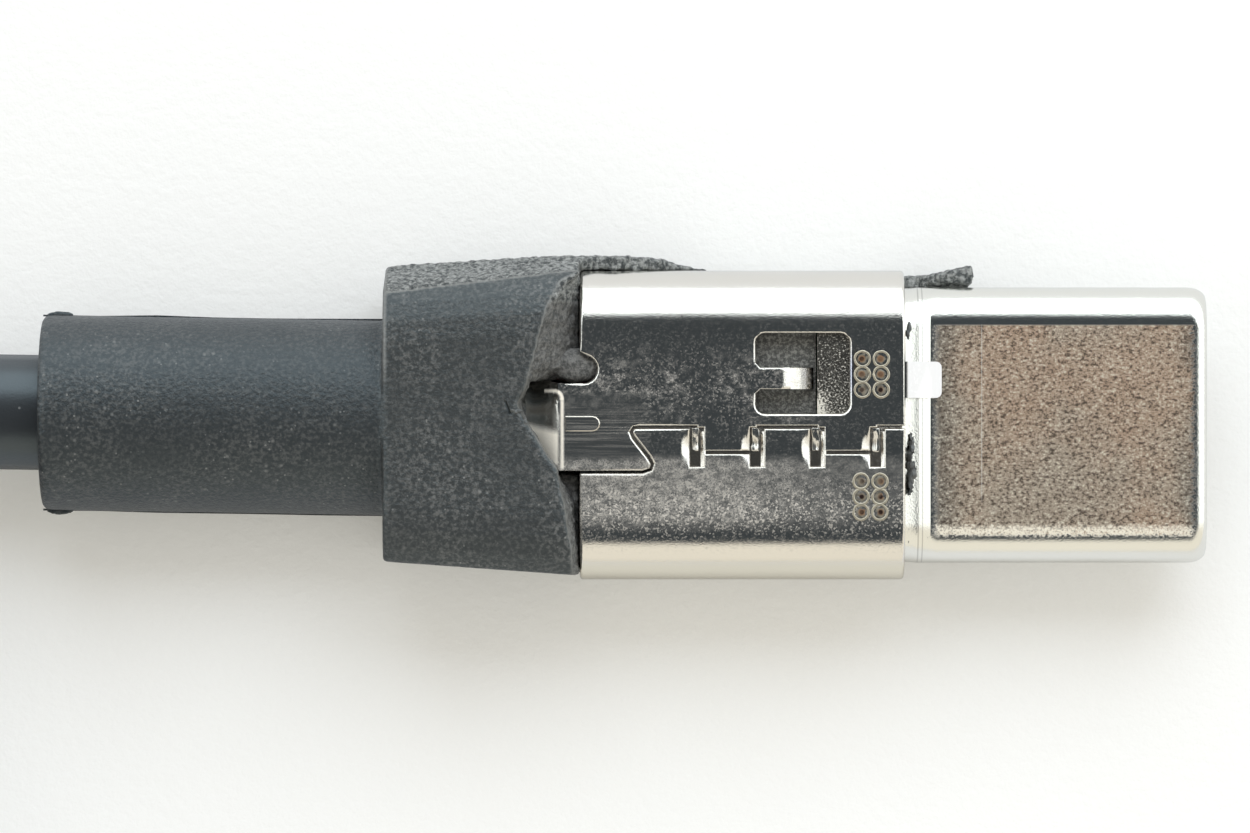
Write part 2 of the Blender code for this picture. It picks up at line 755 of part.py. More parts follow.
def make_latch_plate(finish):
    """One stamped plate: a cross bar behind the insulator and two arms whose hooks hold the socket."""
    arm_in = latch_arm_y() - latch_arm_width / 2
    arm_out = latch_arm_y() + latch_arm_width / 2
    bar_front = insulator_back_x - seat
    bar_back = bar_front - latch_bar_length
    tip = insulator_front_x - 0.2 * MM
    side = [(bar_back, arm_out - 0.4 * MM), (bar_back + 0.3 * MM, arm_out)]
    side += [(tip - 0.25 * MM, arm_out), (tip, arm_in + 0.04 * MM)]
    side += [(tip - 0.35 * MM, arm_in - latch_hook), (tip - 0.75 * MM, arm_in - latch_hook + 0.04 * MM)]
    side += [(tip - 1.15 * MM, arm_in), (bar_front, arm_in)]
    outline = side + [(x, -y) for x, y in reversed(side)]
    low, high = axis_z - latch_sheet / 2, axis_z + latch_sheet / 2
    return prism("latch_plate", outline, low, high, finish)


def make_ground_spring(name, side, finish):
    """A thin plate between insulator and shell, with fingers curled over the insulator's front edge."""
    gap_half = (shell_height / 2 - shell_wall - insulator_height / 2) / 2
    level = insulator_height / 2 + gap_half
    front = insulator_front_x + seat + ground_sheet
    back = front - ground_length
    xs = [back, front - 0.7 * MM, front - 0.06 * MM, front + 0.08 * MM, front + 0.14 * MM]
    zs = [level, level, level - 0.01 * MM, level - 0.1 * MM, level - ground_finger_drop]
    outline = ribbon(list(zip(xs, zs)), ground_sheet)
    mesh_data = bmesh.new()
    plate = ribbon([(back, level), (front - 0.5 * MM, level)], ground_sheet - 0.01 * MM)
    plate = [(x, axis_z + side * z) for x, z in plate]
    prism_into(mesh_data, plate, -ground_width / 2, ground_width / 2, "XZ")
    spring = new_object(name, mesh_data, finish)
    step = ground_width / ground_finger_count
    fingers = bmesh.new()
    for i in range(ground_finger_count):
        y = -ground_width / 2 + step * (i + 0.5)
        half = ground_finger_width / 2
        prism_into(fingers, [(x, axis_z + side * z) for x, z in outline], y - half, y + half, "XZ")
    cut(spring, new_object(name + "_finger_form", fingers, None), "UNION")
    return spring


# Card, chips, wires, core and inner mould

def make_card(finish):
    """The card, narrowed at its front end where it goes in between the two rows of tails."""
    shoulder = card_front_x - 1.6 * MM
    wide, slim = card_width / 2, card_width / 2 - 0.5 * MM
    outline = [
        (card_back_x, -wide), (shoulder, -wide), (shoulder + 0.3 * MM, -slim), (card_front_x, -slim),
        (card_front_x, slim), (shoulder + 0.3 * MM, slim), (shoulder, wide), (card_back_x, wide),
    ]
    return prism("paddle_card", outline, axis_z - card_top, axis_z + card_top, finish)


def chip_places():
    low = axis_z + card_top + seat
    return {
        "pull_down_resistor": (card_back_x + 3.2 * MM, 0.9 * MM, low),
        "supply_capacitor": (card_back_x + 3.2 * MM, -0.9 * MM, low),
    }


def make_chip(name, finish):
    x, y, low = chip_places()[name]
    half_x, half_y = chip_length / 2, chip_width / 2
    return block(name, (x - half_x, y - half_y, low), (x + half_x, y + half_y, low + chip_height), finish)


def wire_lines():
    """Centrelines of the four wires from the braided core's front end to their pads on the card."""
    start = core_front_x() + seat
    pad = card_back_x + wire_pad_reach
    level = card_top + seat + wire_radius
    lines = {}
    sides = (("wire_red", 1, 1), ("wire_black", -1, 1), ("wire_green", 1, -1), ("wire_white", -1, -1))
    for name, side_y, side_z in sides:
        y0, z0 = relief_y(start) + side_y * wire_bundle_offset, side_z * wire_bundle_offset
        points = [
            (start, y0, axis_z + z0),
            (start + 0.35 * MM, y0, axis_z + z0),
            (card_back_x - 0.12 * MM, side_y * (wire_pad_y * 0.62), axis_z + side_z * (level - 0.02 * MM)),
            (card_back_x + 0.5 * MM, side_y * wire_pad_y * 0.9, axis_z + side_z * level),
            (pad - 0.6 * MM, side_y * wire_pad_y, axis_z + side_z * level),
            (pad, side_y * wire_pad_y, axis_z + side_z * level),
        ]
        lines[name] = smooth_line(points, 3)
    return lines


def core_front_x():
    return crimp_front_x + core_front


def make_core(finish):
    start, end = jacket_end_x + seat, core_front_x()
    points = [(start, relief_y(start), axis_z), (end, relief_y(end), axis_z)]
    return sweep("braided_core", points, core_radius, finish, sides=20)


def make_inner_mould(finish):
    """The plastic that was moulded round the card and the wires before the can went on."""
    back, front = can_back_x + mould_setback, skirt_back_x - seat
    width = can_width - 2 * can_sheet - 4 * seat
    loops = [rounded_loop(x, width, mould_height, 1.2 * MM, 0, axis_z, steps=5) for x in (back, front)]
    mould = loft("inner_mould", loops, finish)
    pocket = card_top + seat
    card_room = block(
        "card_room_cutter",
        (card_back_x - seat, -card_width / 2 - seat, axis_z - pocket),
        (front + 0.2 * MM, card_width / 2 + seat, axis_z + pocket), None)
    cut(mould, card_room)
    for name in ("pull_down_resistor", "supply_capacitor"):
        x, y, low = chip_places()[name]
        half_x, half_y = chip_length / 2 + seat, chip_width / 2 + seat
        top = low + chip_height + seat
        low -= 2 * seat
        cut(mould, block(name + "_room_cutter", (x - half_x, y - half_y, low), (x + half_x, y + half_y, top), None))
    for name, line in wire_lines().items():
        line = [line[0] - Vector((0.3 * MM, 0, 0))] + line + [line[-1] + Vector((0.05 * MM, 0, 0))]
        mesh_data = bmesh.new()
        sweep_into(mesh_data, line, wire_radius + seat)
        cut(mould, new_object(name + "_room_cutter", mesh_data, None))
    return smooth(mould, 30)


# Overmould, torn open

def torn_edge():
    """Where the top skin ends, from the +Y side to the -Y side: x and y of the upper and of the lower rim."""
    upper = [
        (-1.26, 5.6), (-1.26, 4.65), (-1.93, 4.3), (-2.34, 3.5), (-2.52, 2.8), (-2.83, 1.62), (-2.95, 1.1),
        (-3.2, 0.6), (-2.83, -0.06), (-2.55, -0.5), (-2.0, -1.34), (-1.8, -2.37), (-1.59, -3.75), (-1.5, -4.4),
        (-1.5, -5.6),
    ]
    lower = [
        (-1.20, 5.6), (-1.22, 4.65), (-1.42, 4.2), (-1.42, 3.5), (-1.42, 2.8), (-1.46, 1.72), (-2.75, 1.2),
        (-2.95, 0.6), (-2.75, -0.06), (-2.5, -0.5), (-1.95, -1.42), (-1.45, -2.37), (-1.42, -3.75), (-1.42, -4.4),
        (-1.42, -5.6),
    ]
    return [[(x * tear, y * tear) for x, y in rim] for rim in (upper, lower)]


def torn_top_cutter():
    """Takes away the moulding over the can: its rear wall is the tear, ragged and sloping."""
    upper, lower = torn_edge()
    shake = random.Random(11)
    high, low = overmould_thickness + 0.4 * MM, axis_z + can_top - 0.75 * MM
    front = overmould_front_x + tear
    rows = []
    for rim, z in ((upper, high), (upper, overmould_thickness - 0.1 * MM), (lower, low)):
        row = []
        for (x0, y0), (x1, y1) in zip(rim, rim[1:]):
            row.append((x0, y0))
            row.append(((x0 + x1) / 2 + shake.uniform(-0.05, 0.05) * tear, (y0 + y1) / 2))
        row += [rim[-1], (front, rim[-1][1]), (front, rim[0][1])]
        rows.append([Vector((x, y, z)) for x, y in row])
    return loft("torn_top_cutter", rows, None)


def flap_cutter():
    """Clears the space of the can and all above it, so that only the flap under the can stays."""
    mesh_data = bmesh.new()
    under = axis_z - can_top - flap_clear
    side = can_width / 2 + flap_clear
    low = (can_back_x - flap_clear, -2 * side, under)
    high = (can_front_x + flap_clear, side, 2 * overmould_thickness)
    block_into(mesh_data, low, high)
    return new_object("can_space_cutter", mesh_data, None)


def flap_front_cutter():
    """Ahead of the can the flap hugs the neck and the shell's root from below."""
    front = overmould_front_x + 1.0 * MM
    under = axis_z - neck_height / 2 - bead_rise - flap_clear
    outline = [
        (-2 * can_width, under + 2.0 * MM), (-2 * can_width, under), (shell_width / 2 - 0.9 * MM, under),
        (shell_width / 2 - 0.2 * MM, under + 0.25 * MM), (shell_width / 2 + 0.12 * MM, axis_z - 0.5 * MM),
        (shell_width / 2 + 0.14 * MM, 2 * overmould_thickness), (-2 * can_width, 2 * overmould_thickness),
    ]
    return prism("shell_space_cutter", outline, can_front_x, front, None, "YZ")


def flap_side_cutter():
    """The +Y side wall slopes down from the tear to the flap, and stands again as a scrap at the front."""
    heights = (
        (-1.3, 3.7), (-0.9, 3.25), (-0.2, 3.35), (0.2, 3.0), (0.9, 2.75), (1.3, 2.3), (2.4, 1.3), (5.0, 1.0),
        (7.8, 1.3), (8.3, 2.0), (8.9, 2.2), (9.5, 2.75), (10.15, 2.9), (10.95, 2.7),
    )
    above = overmould_thickness + 0.5 * tear
    outline = [(can_back_x - flap_clear, above), (can_back_x - flap_clear, 4.6 * tear)]
    outline += [(x * tear, z * tear) for x, z in heights] + [(10.95 * tear, above)]
    side = can_width / 2 - 1.5 * MM
    return prism("side_wall_cutter", outline, side, 2 * can_width, None, "XZ")


def flap_plan_cutter():
    """What is cut away round the flap, in plan: the -Y side and a ragged front."""
    front, back = overmould_front_x + tear, sleeve_back_x - 0.5 * tear
    shake = random.Random(23)
    ragged = (
        (1.5, -4.2), (4.0, -3.9), (6.4, -4.0), (8.3, -3.6), (9.3, -3.2), (9.9, -2.2), (9.6, -1.2), (10.0, -0.2),
        (9.8, 1.0), (10.2, 2.1), (10.0, 3.2), (10.25, 4.1), (10.44, 4.42), (10.36, 4.8), (9.9, 4.66), (9.5, 4.6),
        (8.9, 4.45), (8.2, 4.5), (7.0, 4.35), (4.5, 4.4), (2.3, 4.72), (1.6, 4.86), (1.2, 4.98), (0.7, 5.0),
        (0.2, 5.06),
    )
    rim = [(back, lower_cut_back_y), (can_back_x - 0.2 * tear, lower_cut_front_y)]
    for x, y in ragged:
        rim.append(((x + shake.uniform(-0.05, 0.05)) * tear, (y + shake.uniform(-0.04, 0.04)) * tear))
    rim += [(can_back_x, 5.06 * tear), (-2.6 * tear, 5.04 * tear), (back, 4.72 * tear)]
    far = 12.0 * tear
    outline = rim + [(back, far), (front, far), (front, -far), (back, -far)]
    return prism("flap_plan_cutter", outline, -tear, overmould_thickness + tear, None)


def slant_cutter():
    """The knife cut along the +Y side: a slanted face from the top skin's edge down to the side."""
    back, front = sleeve_back_x - 0.5 * MM, overmould_front_x + 1.0 * MM
    loops = []
    for x, edge_y in ((back, side_cut_back_y), (can_back_x, side_cut_front_y), (front, side_cut_front_y + 0.3 * MM)):
        loops.append([
            Vector((x, edge_y, overmould_thickness + 0.01 * MM)),
            Vector((x, edge_y + 0.78 * MM, axis_z - 0.4 * MM)),
            Vector((x, edge_y + 6.0 * MM, axis_z - 0.4 * MM)),
            Vector((x, edge_y + 6.0 * MM, overmould_thickness + 0.6 * MM)),
            Vector((x, edge_y, overmould_thickness + 0.6 * MM)),
        ])
    return loft("slant_cutter", loops, None)


def relief_form():
    """The round strain relief behind the sleeve, leaning with the cord."""
    loops = []
    steps = 28
    edge = 0.12 * MM
    inside_x = sleeve_back_x + 1.5 * MM
    for x, less in ((relief_back_x, edge), (relief_back_x + edge, 0.0), (inside_x, 0.0)):
        loops.append(round_loop(x, relief_radius - less, relief_y(x), axis_z, steps))
    return loft("strain_relief_form", loops, None)


def make_overmould(finish):
    loops = []
    for x, width, height in (
        (sleeve_back_x, overmould_back_width, overmould_thickness - 0.16 * MM),
        (sleeve_back_x + 0.12 * MM, overmould_back_width + 0.1 * MM, overmould_thickness),
        (-2.0 * MM, overmould_width, overmould_thickness),
        (overmould_front_x, overmould_width, overmould_thickness),
    ):
        loops.append(rounded_loop(x, width, height, overmould_corner, 0, axis_z, steps=6))
    mould = loft("overmould", loops, finish)
    cut(mould, relief_form(), "UNION")
    cut(mould, slant_cutter())
    cut(mould, flap_plan_cutter())
    cut(mould, torn_top_cutter())
    cut(mould, flap_cutter())
    cut(mould, flap_front_cutter())
    cut(mould, flap_side_cutter())
    back = relief_back_x - 0.3 * MM
    bore = sweep(
        "cord_bore_cutter",
        [(back, relief_y(back), axis_z), (jacket_end_x + seat, relief_y(jacket_end_x), axis_z)],
        cord_radius + 2 * seat, None, sides=24)
    cut(mould, bore)
    core_room = crimp_radius + can_sheet + seat
    start, end = jacket_end_x - 0.1 * MM, can_back_x + 0.1 * MM
    room_line = [(start, relief_y(start), axis_z), (end, relief_y(end), axis_z)]
    cut(mould, sweep("crimp_room_cutter", room_line, core_room, None, sides=28))
    half = strip_width / 2 + 0.1 * MM
    middle = (strip_upper_y + strip_lower_y) / 2
    strip_room = block(
        "strip_room_cutter",
        (crimp_front_x - 0.15 * MM, middle - half, axis_z),
        (can_back_x + 0.1 * MM, middle + half, axis_z + can_top + 0.06 * MM), None)
    cut(mould, strip_room)
    return smooth(mould, 25)


def make_scrap(finish):
    """A ragged crumb of rubber left on the neck of the front shell."""
    rest = axis_z + neck_height / 2 + bead_rise + seat
    plan = (
        (8.40, -0.12), (8.60, -0.05), (8.68, -0.45), (8.62, -0.85), (8.75, -1.3), (8.66, -1.7), (8.58, -2.1),
        (8.63, -2.5), (8.46, -2.85), (8.38, -2.3), (8.43, -1.8), (8.37, -1.2), (8.42, -0.7),
    )
    middle = Vector((8.53 * tear, -1.45 * tear, 0.0))
    loops = []
    for z, size in ((rest, 1.0), (rest + 0.22 * tear, 0.9), (rest + 0.4 * tear, 0.5)):
        foot = middle * (1 - size) + Vector((0.0, 0.0, z))
        loops.append([Vector((x * tear * size, y * tear * size, 0.0)) + foot for x, y in plan])
    return loft("rubber_scrap", loops, finish)


# Cord and hank

def cord_object(name, points, finish):
    """A cord as a curve with a round section, read from a smooth line through its points."""
    data = bpy.data.curves.new(name, "CURVE")
    data.dimensions = "3D"
    data.bevel_depth = cord_radius
    data.bevel_resolution = 2
    data.render_resolution_u = 0
    data.use_fill_caps = True
    spline = data.splines.new("POLY")
    spline.points.add(len(points) - 1)
    for place, point in zip(spline.points, points):
        place.co = (*point, 1.0)
    made = bpy.data.objects.new(name, data)
    bpy.context.scene.collection.objects.link(made)
    data.materials.append(finish)
    return made


def near_route():
    """From the jacket's end in the moulding, straight out of the strain relief, then square on to the hank."""
    start = jacket_end_x - seat
    exit_y = relief_y(relief_back_x)
    turn = math.pi / 2 * (lead_facet + 0.5) / round_steps
    end_x = hank_centre_x + hank_run / 2 + (hank_edge_radius + seat) * math.cos(turn)
    end_y = hank_offset_y + (hank_edge_radius + seat) * math.sin(turn)
    bend_radius = (exit_y - end_y) / (1 - math.cos(turn))
    bend_x = end_x + bend_radius * math.sin(turn)
    route = [(x, relief_y(x), axis_z) for x in (start, (start + relief_back_x) / 2, relief_back_x)]
    for x, y in arc_points((bend_x, exit_y - bend_radius), bend_radius, 90, 90 + math.degrees(turn), 5):
        route.append((x, y, axis_z))
    return route


def far_plug_place():
    """Origin of the far plug: the rear end of its moulding, lying beside the hank's waist on the -Y side."""
    y = hank_offset_y - hank_waist_half - tie_sheet - far_plug_gap - far_width / 2
    return Vector((hank_centre_x - far_plug_shift, y, 0.0))


def far_route():
    """From the hank's flank, square off one of its facets, to the far plug's strain relief."""
    plug = far_plug_place()
    level = far_height / 2
    near_x, near_side = hank_flank(tail_facet / flank_steps)
    off_x, off_side = hank_flank((tail_facet + 1) / flank_steps)
    turn = math.atan2(off_x - near_x, off_side - near_side)
    start_x = hank_centre_x - (near_x + off_x) / 2 + tail_seat * math.cos(turn)
    start_y = hank_offset_y - (near_side + off_side) / 2 - tail_seat * math.sin(turn)
    bend_radius = (start_y - plug.y) / (1 - math.cos(turn))
    centre = (start_x + bend_radius * math.sin(turn), plug.y + bend_radius)
    bend = arc_points(centre, bend_radius, 270 - math.degrees(turn), 270, 6)
    return [(x, y, level) for x, y in bend + [(plug.x - far_relief_length - seat, plug.y)]]


def hank_flank(share):
    """A point of the flank between the waist and the round end, as distances from the hank's middle."""
    bend = (hank_run - hank_waist) / 2
    slope = math.atan(hank_pinch * math.pi / (2 * bend) * math.sin(math.pi * share))
    side = hank_pinch * (1 - math.cos(math.pi * share)) / 2 + hank_waist_half / math.cos(slope)
    return hank_waist / 2 + bend * share, side


def hank_outline():
    """The outer shape of the hank from above: round ends, and sides drawn in to a waist under the tie."""
    quarter = [(0.0, hank_waist_half)]
    quarter += [hank_flank(i / flank_steps) for i in range(flank_steps + 1)]
    quarter += arc_points((hank_run / 2, 0.0), hank_edge_radius, 90, 0, round_steps)[1:]
    right = quarter + [(x, -y) for x, y in reversed(quarter[:-1])]
    left = [(-x, y) for x, y in reversed(right)][1:-1]
    return [(hank_centre_x + x, hank_offset_y + y) for x, y in right + left]


def make_hank(finish):
    return prism("cord_hank", hank_outline(), 0.0, hank_height, finish)


def make_tie(finish):
    """A tie over the hank's waist, whose two legs reach the floor on either side of it."""
    sides = []
    for grow in (cord_gap, cord_gap + tie_sheet):
        half_y = hank_waist_half + grow
        top = hank_height + grow
        sides.append([(half_y, 0.0), (half_y, top), (-half_y, top), (-half_y, 0.0)])
    inner, outer = sides
    outline = outer + inner[::-1]
    outline = [(hank_offset_y + y, z) for y, z in outline]
    half = tie_width / 2
    return prism("hank_tie", outline, hank_centre_x - half, hank_centre_x + half, finish, "YZ")


# Far plug, modelled along its own X from the rear end of its moulding

def far_section(x, inset=0.0, grow=0.0):
    """The far shell's section: a flat top, and lower corners cut off at a slant."""
    half = far_shell_width / 2 - inset + grow
    high = far_shell_height / 2 - inset + grow
    slant = far_shell_bevel
    narrow = half - slant * 0.8
    edge, side = 0.3 * MM, 0.75 * MM
    points = [(half, high - edge), (half - edge, high), (-half + edge, high), (-half, high - edge)]
    points += [(-half, high - side), (-narrow, -high), (narrow, -high), (half, high - side)]
    return [Vector((x, y, far_height / 2 + z)) for y, z in points]


def make_far_shell(finish, parent):
    root = far_length - far_shell_root
    tip = far_length + far_shell_length
    loops = [far_section(root), far_section(tip - 0.2 * MM), far_section(tip, 0.08 * MM)]
    loops += [far_section(tip, far_shell_wall - 0.02 * MM), far_section(root, far_shell_wall)]
    shell = loft("far_shell", loops, finish, ring=True, parent=parent)
    slots = bmesh.new()
    top = far_height / 2 + far_shell_height / 2
    hook_x = tip - far_hook_reach
    for side in (1, -1):
        y = side * far_hook_y
        half = far_hook_width / 2 + far_hook_room
        low = (hook_x - 0.75 * MM, y - half, top - far_shell_wall - far_hook_room / 2)
        block_into(slots, low, (hook_x + 0.55 * MM, y + half, top + far_hook_room))
    cut(shell, new_object("hook_slot_cutter", slots, None, parent))
    return shell


def far_spring_line():
    """A latch spring seen from the side: fixed at its root, with a hook that stands out of the shell."""
    roof = far_height / 2 + far_shell_height / 2 - far_shell_wall - seat - far_spring_sheet / 2
    root = far_length - far_shell_root + 0.2 * MM
    hook_x = far_length + far_shell_length - far_hook_reach
    top = roof + far_shell_wall + far_hook_rise
    arm = [(root, roof), (hook_x - 1.4 * MM, roof - 0.02 * MM), (hook_x - 0.55 * MM, roof - 0.02 * MM)]
    hook = [(hook_x - 0.1 * MM, top), (hook_x + 0.12 * MM, top - 0.02 * MM)]
    return arm + hook + [(hook_x + 0.3 * MM, roof - 0.1 * MM), (hook_x + 1.1 * MM, roof - 0.2 * MM)]


def make_far_spring(name, side, finish, parent):
    outline = ribbon(far_spring_line(), far_spring_sheet)
    y = side * far_hook_y
    return prism(name, outline, y - far_hook_width / 2, y + far_hook_width / 2, finish, "XZ", parent)


def make_far_insulator(finish, parent):
    """Plug body in the far shell: a block at its root and a tongue whose grooves hold the contacts."""
    root = far_length - far_shell_root
    tip = far_length + far_shell_length
    floor = far_height / 2 - far_shell_height / 2 + far_shell_wall + seat
    inset = far_shell_wall + seat
    back = [far_section(root, inset), far_section(far_length + 0.6 * MM, inset)]
    body = loft("far_insulator", back, finish, parent=parent)
    tongue_half = far_contact_count * far_contact_pitch / 2 + 0.2 * MM
    tongue_top = floor + far_tongue_sheet
    low = (far_length + 0.3 * MM, -tongue_half, floor + 0.01 * MM)
    cut(body, block("far_tongue_form", low, (tip - 0.7 * MM, tongue_half, tongue_top), None, parent), "UNION")
    springs = bmesh.new()
    roof = far_height / 2 + far_shell_height / 2
    for side in (1, -1):
        y = side * far_hook_y
        half = far_hook_width / 2 + seat
        low = (root - 0.1 * MM, y - half, roof - far_shell_wall - far_spring_sheet - 4 * seat)
        block_into(springs, low, (far_length + 0.8 * MM, y + half, roof))
    cut(body, new_object("spring_groove_cutter", springs, None, parent))
    grooves = bmesh.new()
    for i in range(far_contact_count):
        y = (i - (far_contact_count - 1) / 2) * far_contact_pitch
        half = far_contact_width / 2 + seat
        low = (root - 0.1 * MM, y - half, floor + far_groove_level)
        block_into(grooves, low, (tip - 0.5 * MM, y + half, tongue_top + 2 * seat))
    cut(body, new_object("far_groove_cutter", grooves, None, parent))
    return body


def make_far_contacts(finish, parent):
    root = far_length - far_shell_root
    tip = far_length + far_shell_length
    floor = far_height / 2 - far_shell_height / 2 + far_shell_wall + seat
    level = floor + far_groove_level + seat + far_contact_sheet / 2
    line = [(root + 0.1 * MM, level), (tip - 3.6 * MM, level), (tip - 2.1 * MM, level + 0.3 * MM)]
    line.append((tip - 1.2 * MM, level))
    half = far_contact_width / 2
    for i in range(far_contact_count):
        y = (i - (far_contact_count - 1) / 2) * far_contact_pitch
        outline = ribbon(line, far_contact_sheet)
        prism(f"far_contact_{i + 1}", outline, y - half, y + half, finish, "XZ", parent)


def make_far_overmould(finish, parent):
    """Moulding of the far plug with its strain relief in one piece."""
    centre = far_height / 2
    loops = []
    for x, less_width, less_height in (
        (0.0, 3.2 * MM, 1.6 * MM), (0.5 * MM, 1.8 * MM, 0.7 * MM), (1.6 * MM, 0.6 * MM, 0.1 * MM), (3.2 * MM, 0, 0),
        (far_length - 0.4 * MM, 0, 0), (far_length, 0.6 * MM, 0.6 * MM),
    ):
        width, height = far_width - less_width, far_height - less_height
        loops.append(rounded_loop(x, width, height, far_corner, 0, centre, steps=5))
    mould = loft("far_overmould", loops, finish, parent=parent)
    back = -far_relief_length
    relief = []
    for x, less in ((back, 0.35 * MM), (back + 0.2 * MM, 0.25 * MM), (1.0 * MM, 0.0)):
        relief.append(round_loop(x, far_relief_radius - less, 0.0, centre, 20))
    cut(mould, loft("far_relief_form", relief, None, parent=parent), "UNION")
    root = far_length - far_shell_root
    room = [far_section(root - seat, 0, seat), far_section(far_length + 0.5 * MM, 0, seat)]
    cut(mould, loft("far_shell_room_cutter", room, None, parent=parent))
    return smooth(mould, 35)


def make_far_plug(finishes):
    stand = bpy.data.objects.new("far_plug_stand", None)
    bpy.context.scene.collection.objects.link(stand)
    stand.location = far_plug_place()
    make_far_overmould(finishes["rubber"], stand)
    make_far_shell(finishes["nickel"], stand)
    make_far_insulator(finishes["black_plastic"], stand)
    make_far_contacts(finishes["gold"], stand)
    make_far_spring("far_latch_left", 1, finishes["spring_steel"], stand)
    make_far_spring("far_latch_right", -1, finishes["spring_steel"], stand)


def main():
    for old in list(bpy.data.objects):
        bpy.data.objects.remove(old, do_unlink=True)
    finishes = make_materials()
    make_front_shell(finishes["satin_nickel"])
    make_shield_can(finishes["nickel"])
    make_insulator(finishes["black_plastic"])
    make_contacts(finishes["gold"])
    make_latch_plate(finishes["spring_steel"])
    make_ground_spring("ground_spring_upper", 1, finishes["spring_steel"])
    make_ground_spring("ground_spring_lower", -1, finishes["spring_steel"])
    make_card(finishes["card"])
    make_chip("pull_down_resistor", finishes["chip_black"])
    make_chip("supply_capacitor", finishes["chip_tan"])
    for name, line in wire_lines().items():
        sweep(name, line, wire_radius, finishes[name])
    make_core(finishes["braid"])
    make_inner_mould(finishes["grey_mould"])
    make_overmould(finishes["rubber"])
    make_scrap(finishes["rubber"])
    cord_object("cord", smooth_line(near_route(), 2), finishes["jacket"])
    make_hank(finishes["jacket"])
    make_tie(finishes["tie"])
    cord_object("cord_tail", smooth_line(far_route(), 3), finishes["jacket"])
    make_far_plug(finishes)


main()
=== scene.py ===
"""The look of a cable whose larger plug was cut open: finishes, cord at real length, camera and light."""

import math

import bmesh
import bpy
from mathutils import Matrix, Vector


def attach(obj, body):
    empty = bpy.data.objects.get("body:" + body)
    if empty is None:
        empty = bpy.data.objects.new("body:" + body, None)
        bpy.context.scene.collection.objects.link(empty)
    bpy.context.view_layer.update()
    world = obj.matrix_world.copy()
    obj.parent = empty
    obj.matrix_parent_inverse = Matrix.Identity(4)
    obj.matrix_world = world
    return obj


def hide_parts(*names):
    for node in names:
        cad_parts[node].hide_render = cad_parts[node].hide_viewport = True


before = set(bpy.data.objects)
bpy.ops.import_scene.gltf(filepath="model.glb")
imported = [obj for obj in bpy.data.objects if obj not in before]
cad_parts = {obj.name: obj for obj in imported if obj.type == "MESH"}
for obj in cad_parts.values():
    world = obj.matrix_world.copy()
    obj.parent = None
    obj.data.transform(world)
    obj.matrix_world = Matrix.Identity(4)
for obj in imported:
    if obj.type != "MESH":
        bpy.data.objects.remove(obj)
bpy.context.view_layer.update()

MM = 0.001
merge_distance = 0.001 * MM

# The plug, as the solids have it
axis_z = 3.05 * MM
can_width = 9.25 * MM
can_height = 4.4 * MM
can_corner = 1.95 * MM
can_top_z = axis_z + can_height / 2
shell_width = 8.25 * MM
shell_height = 2.4 * MM
shell_wall = 0.2 * MM
shell_top_z = axis_z + shell_height / 2

# Left-hand sides of the four slots in the seam, in mm
slot_lefts = (1.94, 3.73, 5.52, 7.31)

# The tongue in the can's window, from its root to its tip
tongue_root_x = 4.6 * MM
tongue_tip_x = 5.75 * MM
tongue_y = 1.38 * MM
tongue_reach = 0.4 * MM

# The strip behind the seam: where it bends down, and its rounded fold, both marked on the can with painted
# highlights
strip_bend_x = -1.87 * MM
fold_edge_y = 1.02 * MM
fold_radius = 0.23 * MM

# The weld spots on the can, in mm: two columns, and rows in two blocks that are shifted a little along x
weld_columns = (7.04, 7.6)
weld_blocks = ((0.02, (1.97, 1.51, 1.05)), (-0.02, (-1.67, -2.13, -2.59)))

# The photograph's frame
picture_width = 37.5 * MM
picture_centre_y = 0.255 * MM
camera_distance = 250 * MM
sensor_width = 36.0

# The soft window that lights the table
window_size = (0.46, 0.36)
window_spot = Vector((0.05, 0.34, 0.35))
window_power = 1.70

# The cord, its hank and the strain reliefs at its ends
cord_radius = 1.725 * MM
track_pitch = 3.52 * MM
inner_turn = 10.35 * MM
outer_turn = inner_turn + track_pitch
hank_run = 62.15 * MM
hank_waist = 12.0 * MM
hank_centre = Vector((-70.12 * MM, -10.0 * MM, 0.0))
hank_pinch = inner_turn - track_pitch / 2
relief_back_x = -17.45 * MM
relief_front_x = -7.2 * MM
relief_lean = math.tan(math.radians(0.92))
relief_y = 0.21 * MM
relief_radius = 2.92 * MM
cord_start_x = -12.0 * MM
far_plug = Vector((-76.12 * MM, -25.605 * MM, 0.0))
far_axis_z = 3.7 * MM


# Hands: picking, copying and finishing pieces

def pick(piece):
    if bpy.context.object and bpy.context.object.mode != "OBJECT":
        bpy.ops.object.mode_set(mode="OBJECT")
    bpy.ops.object.select_all(action="DESELECT")
    piece.select_set(True)
    bpy.context.view_layer.objects.active = piece


def pick_none():
    bpy.ops.object.select_all(action="DESELECT")
    bpy.context.view_layer.objects.active = None


def editing(piece, everything=False):
    """Goes into edit mode with nothing selected, or with everything."""
    pick(piece)
    bpy.ops.object.mode_set(mode="EDIT")
    bpy.ops.mesh.select_all(action="SELECT" if everything else "DESELECT")


def pick_edges(piece, test):
    """In edit mode, selects the edges between two faces that pass the test."""
    mesh = bmesh.from_edit_mesh(piece.data)
    bpy.context.tool_settings.mesh_select_mode = (False, True, False)
    for edge in mesh.edges:
        edge.select_set(len(edge.link_faces) == 2 and test(edge))
    bmesh.update_edit_mesh(piece.data)


def done(piece):
    bpy.ops.object.mode_set(mode="OBJECT")
    return piece


def modify(piece, kind, **settings):
    """Adds a modifier and applies it."""
    pick(piece)
    bpy.ops.object.modifier_add(type=kind)
    change = piece.modifiers[-1]
    for key, value in settings.items():
        setattr(change, key, value)
    bpy.ops.object.modifier_apply(modifier=change.name)


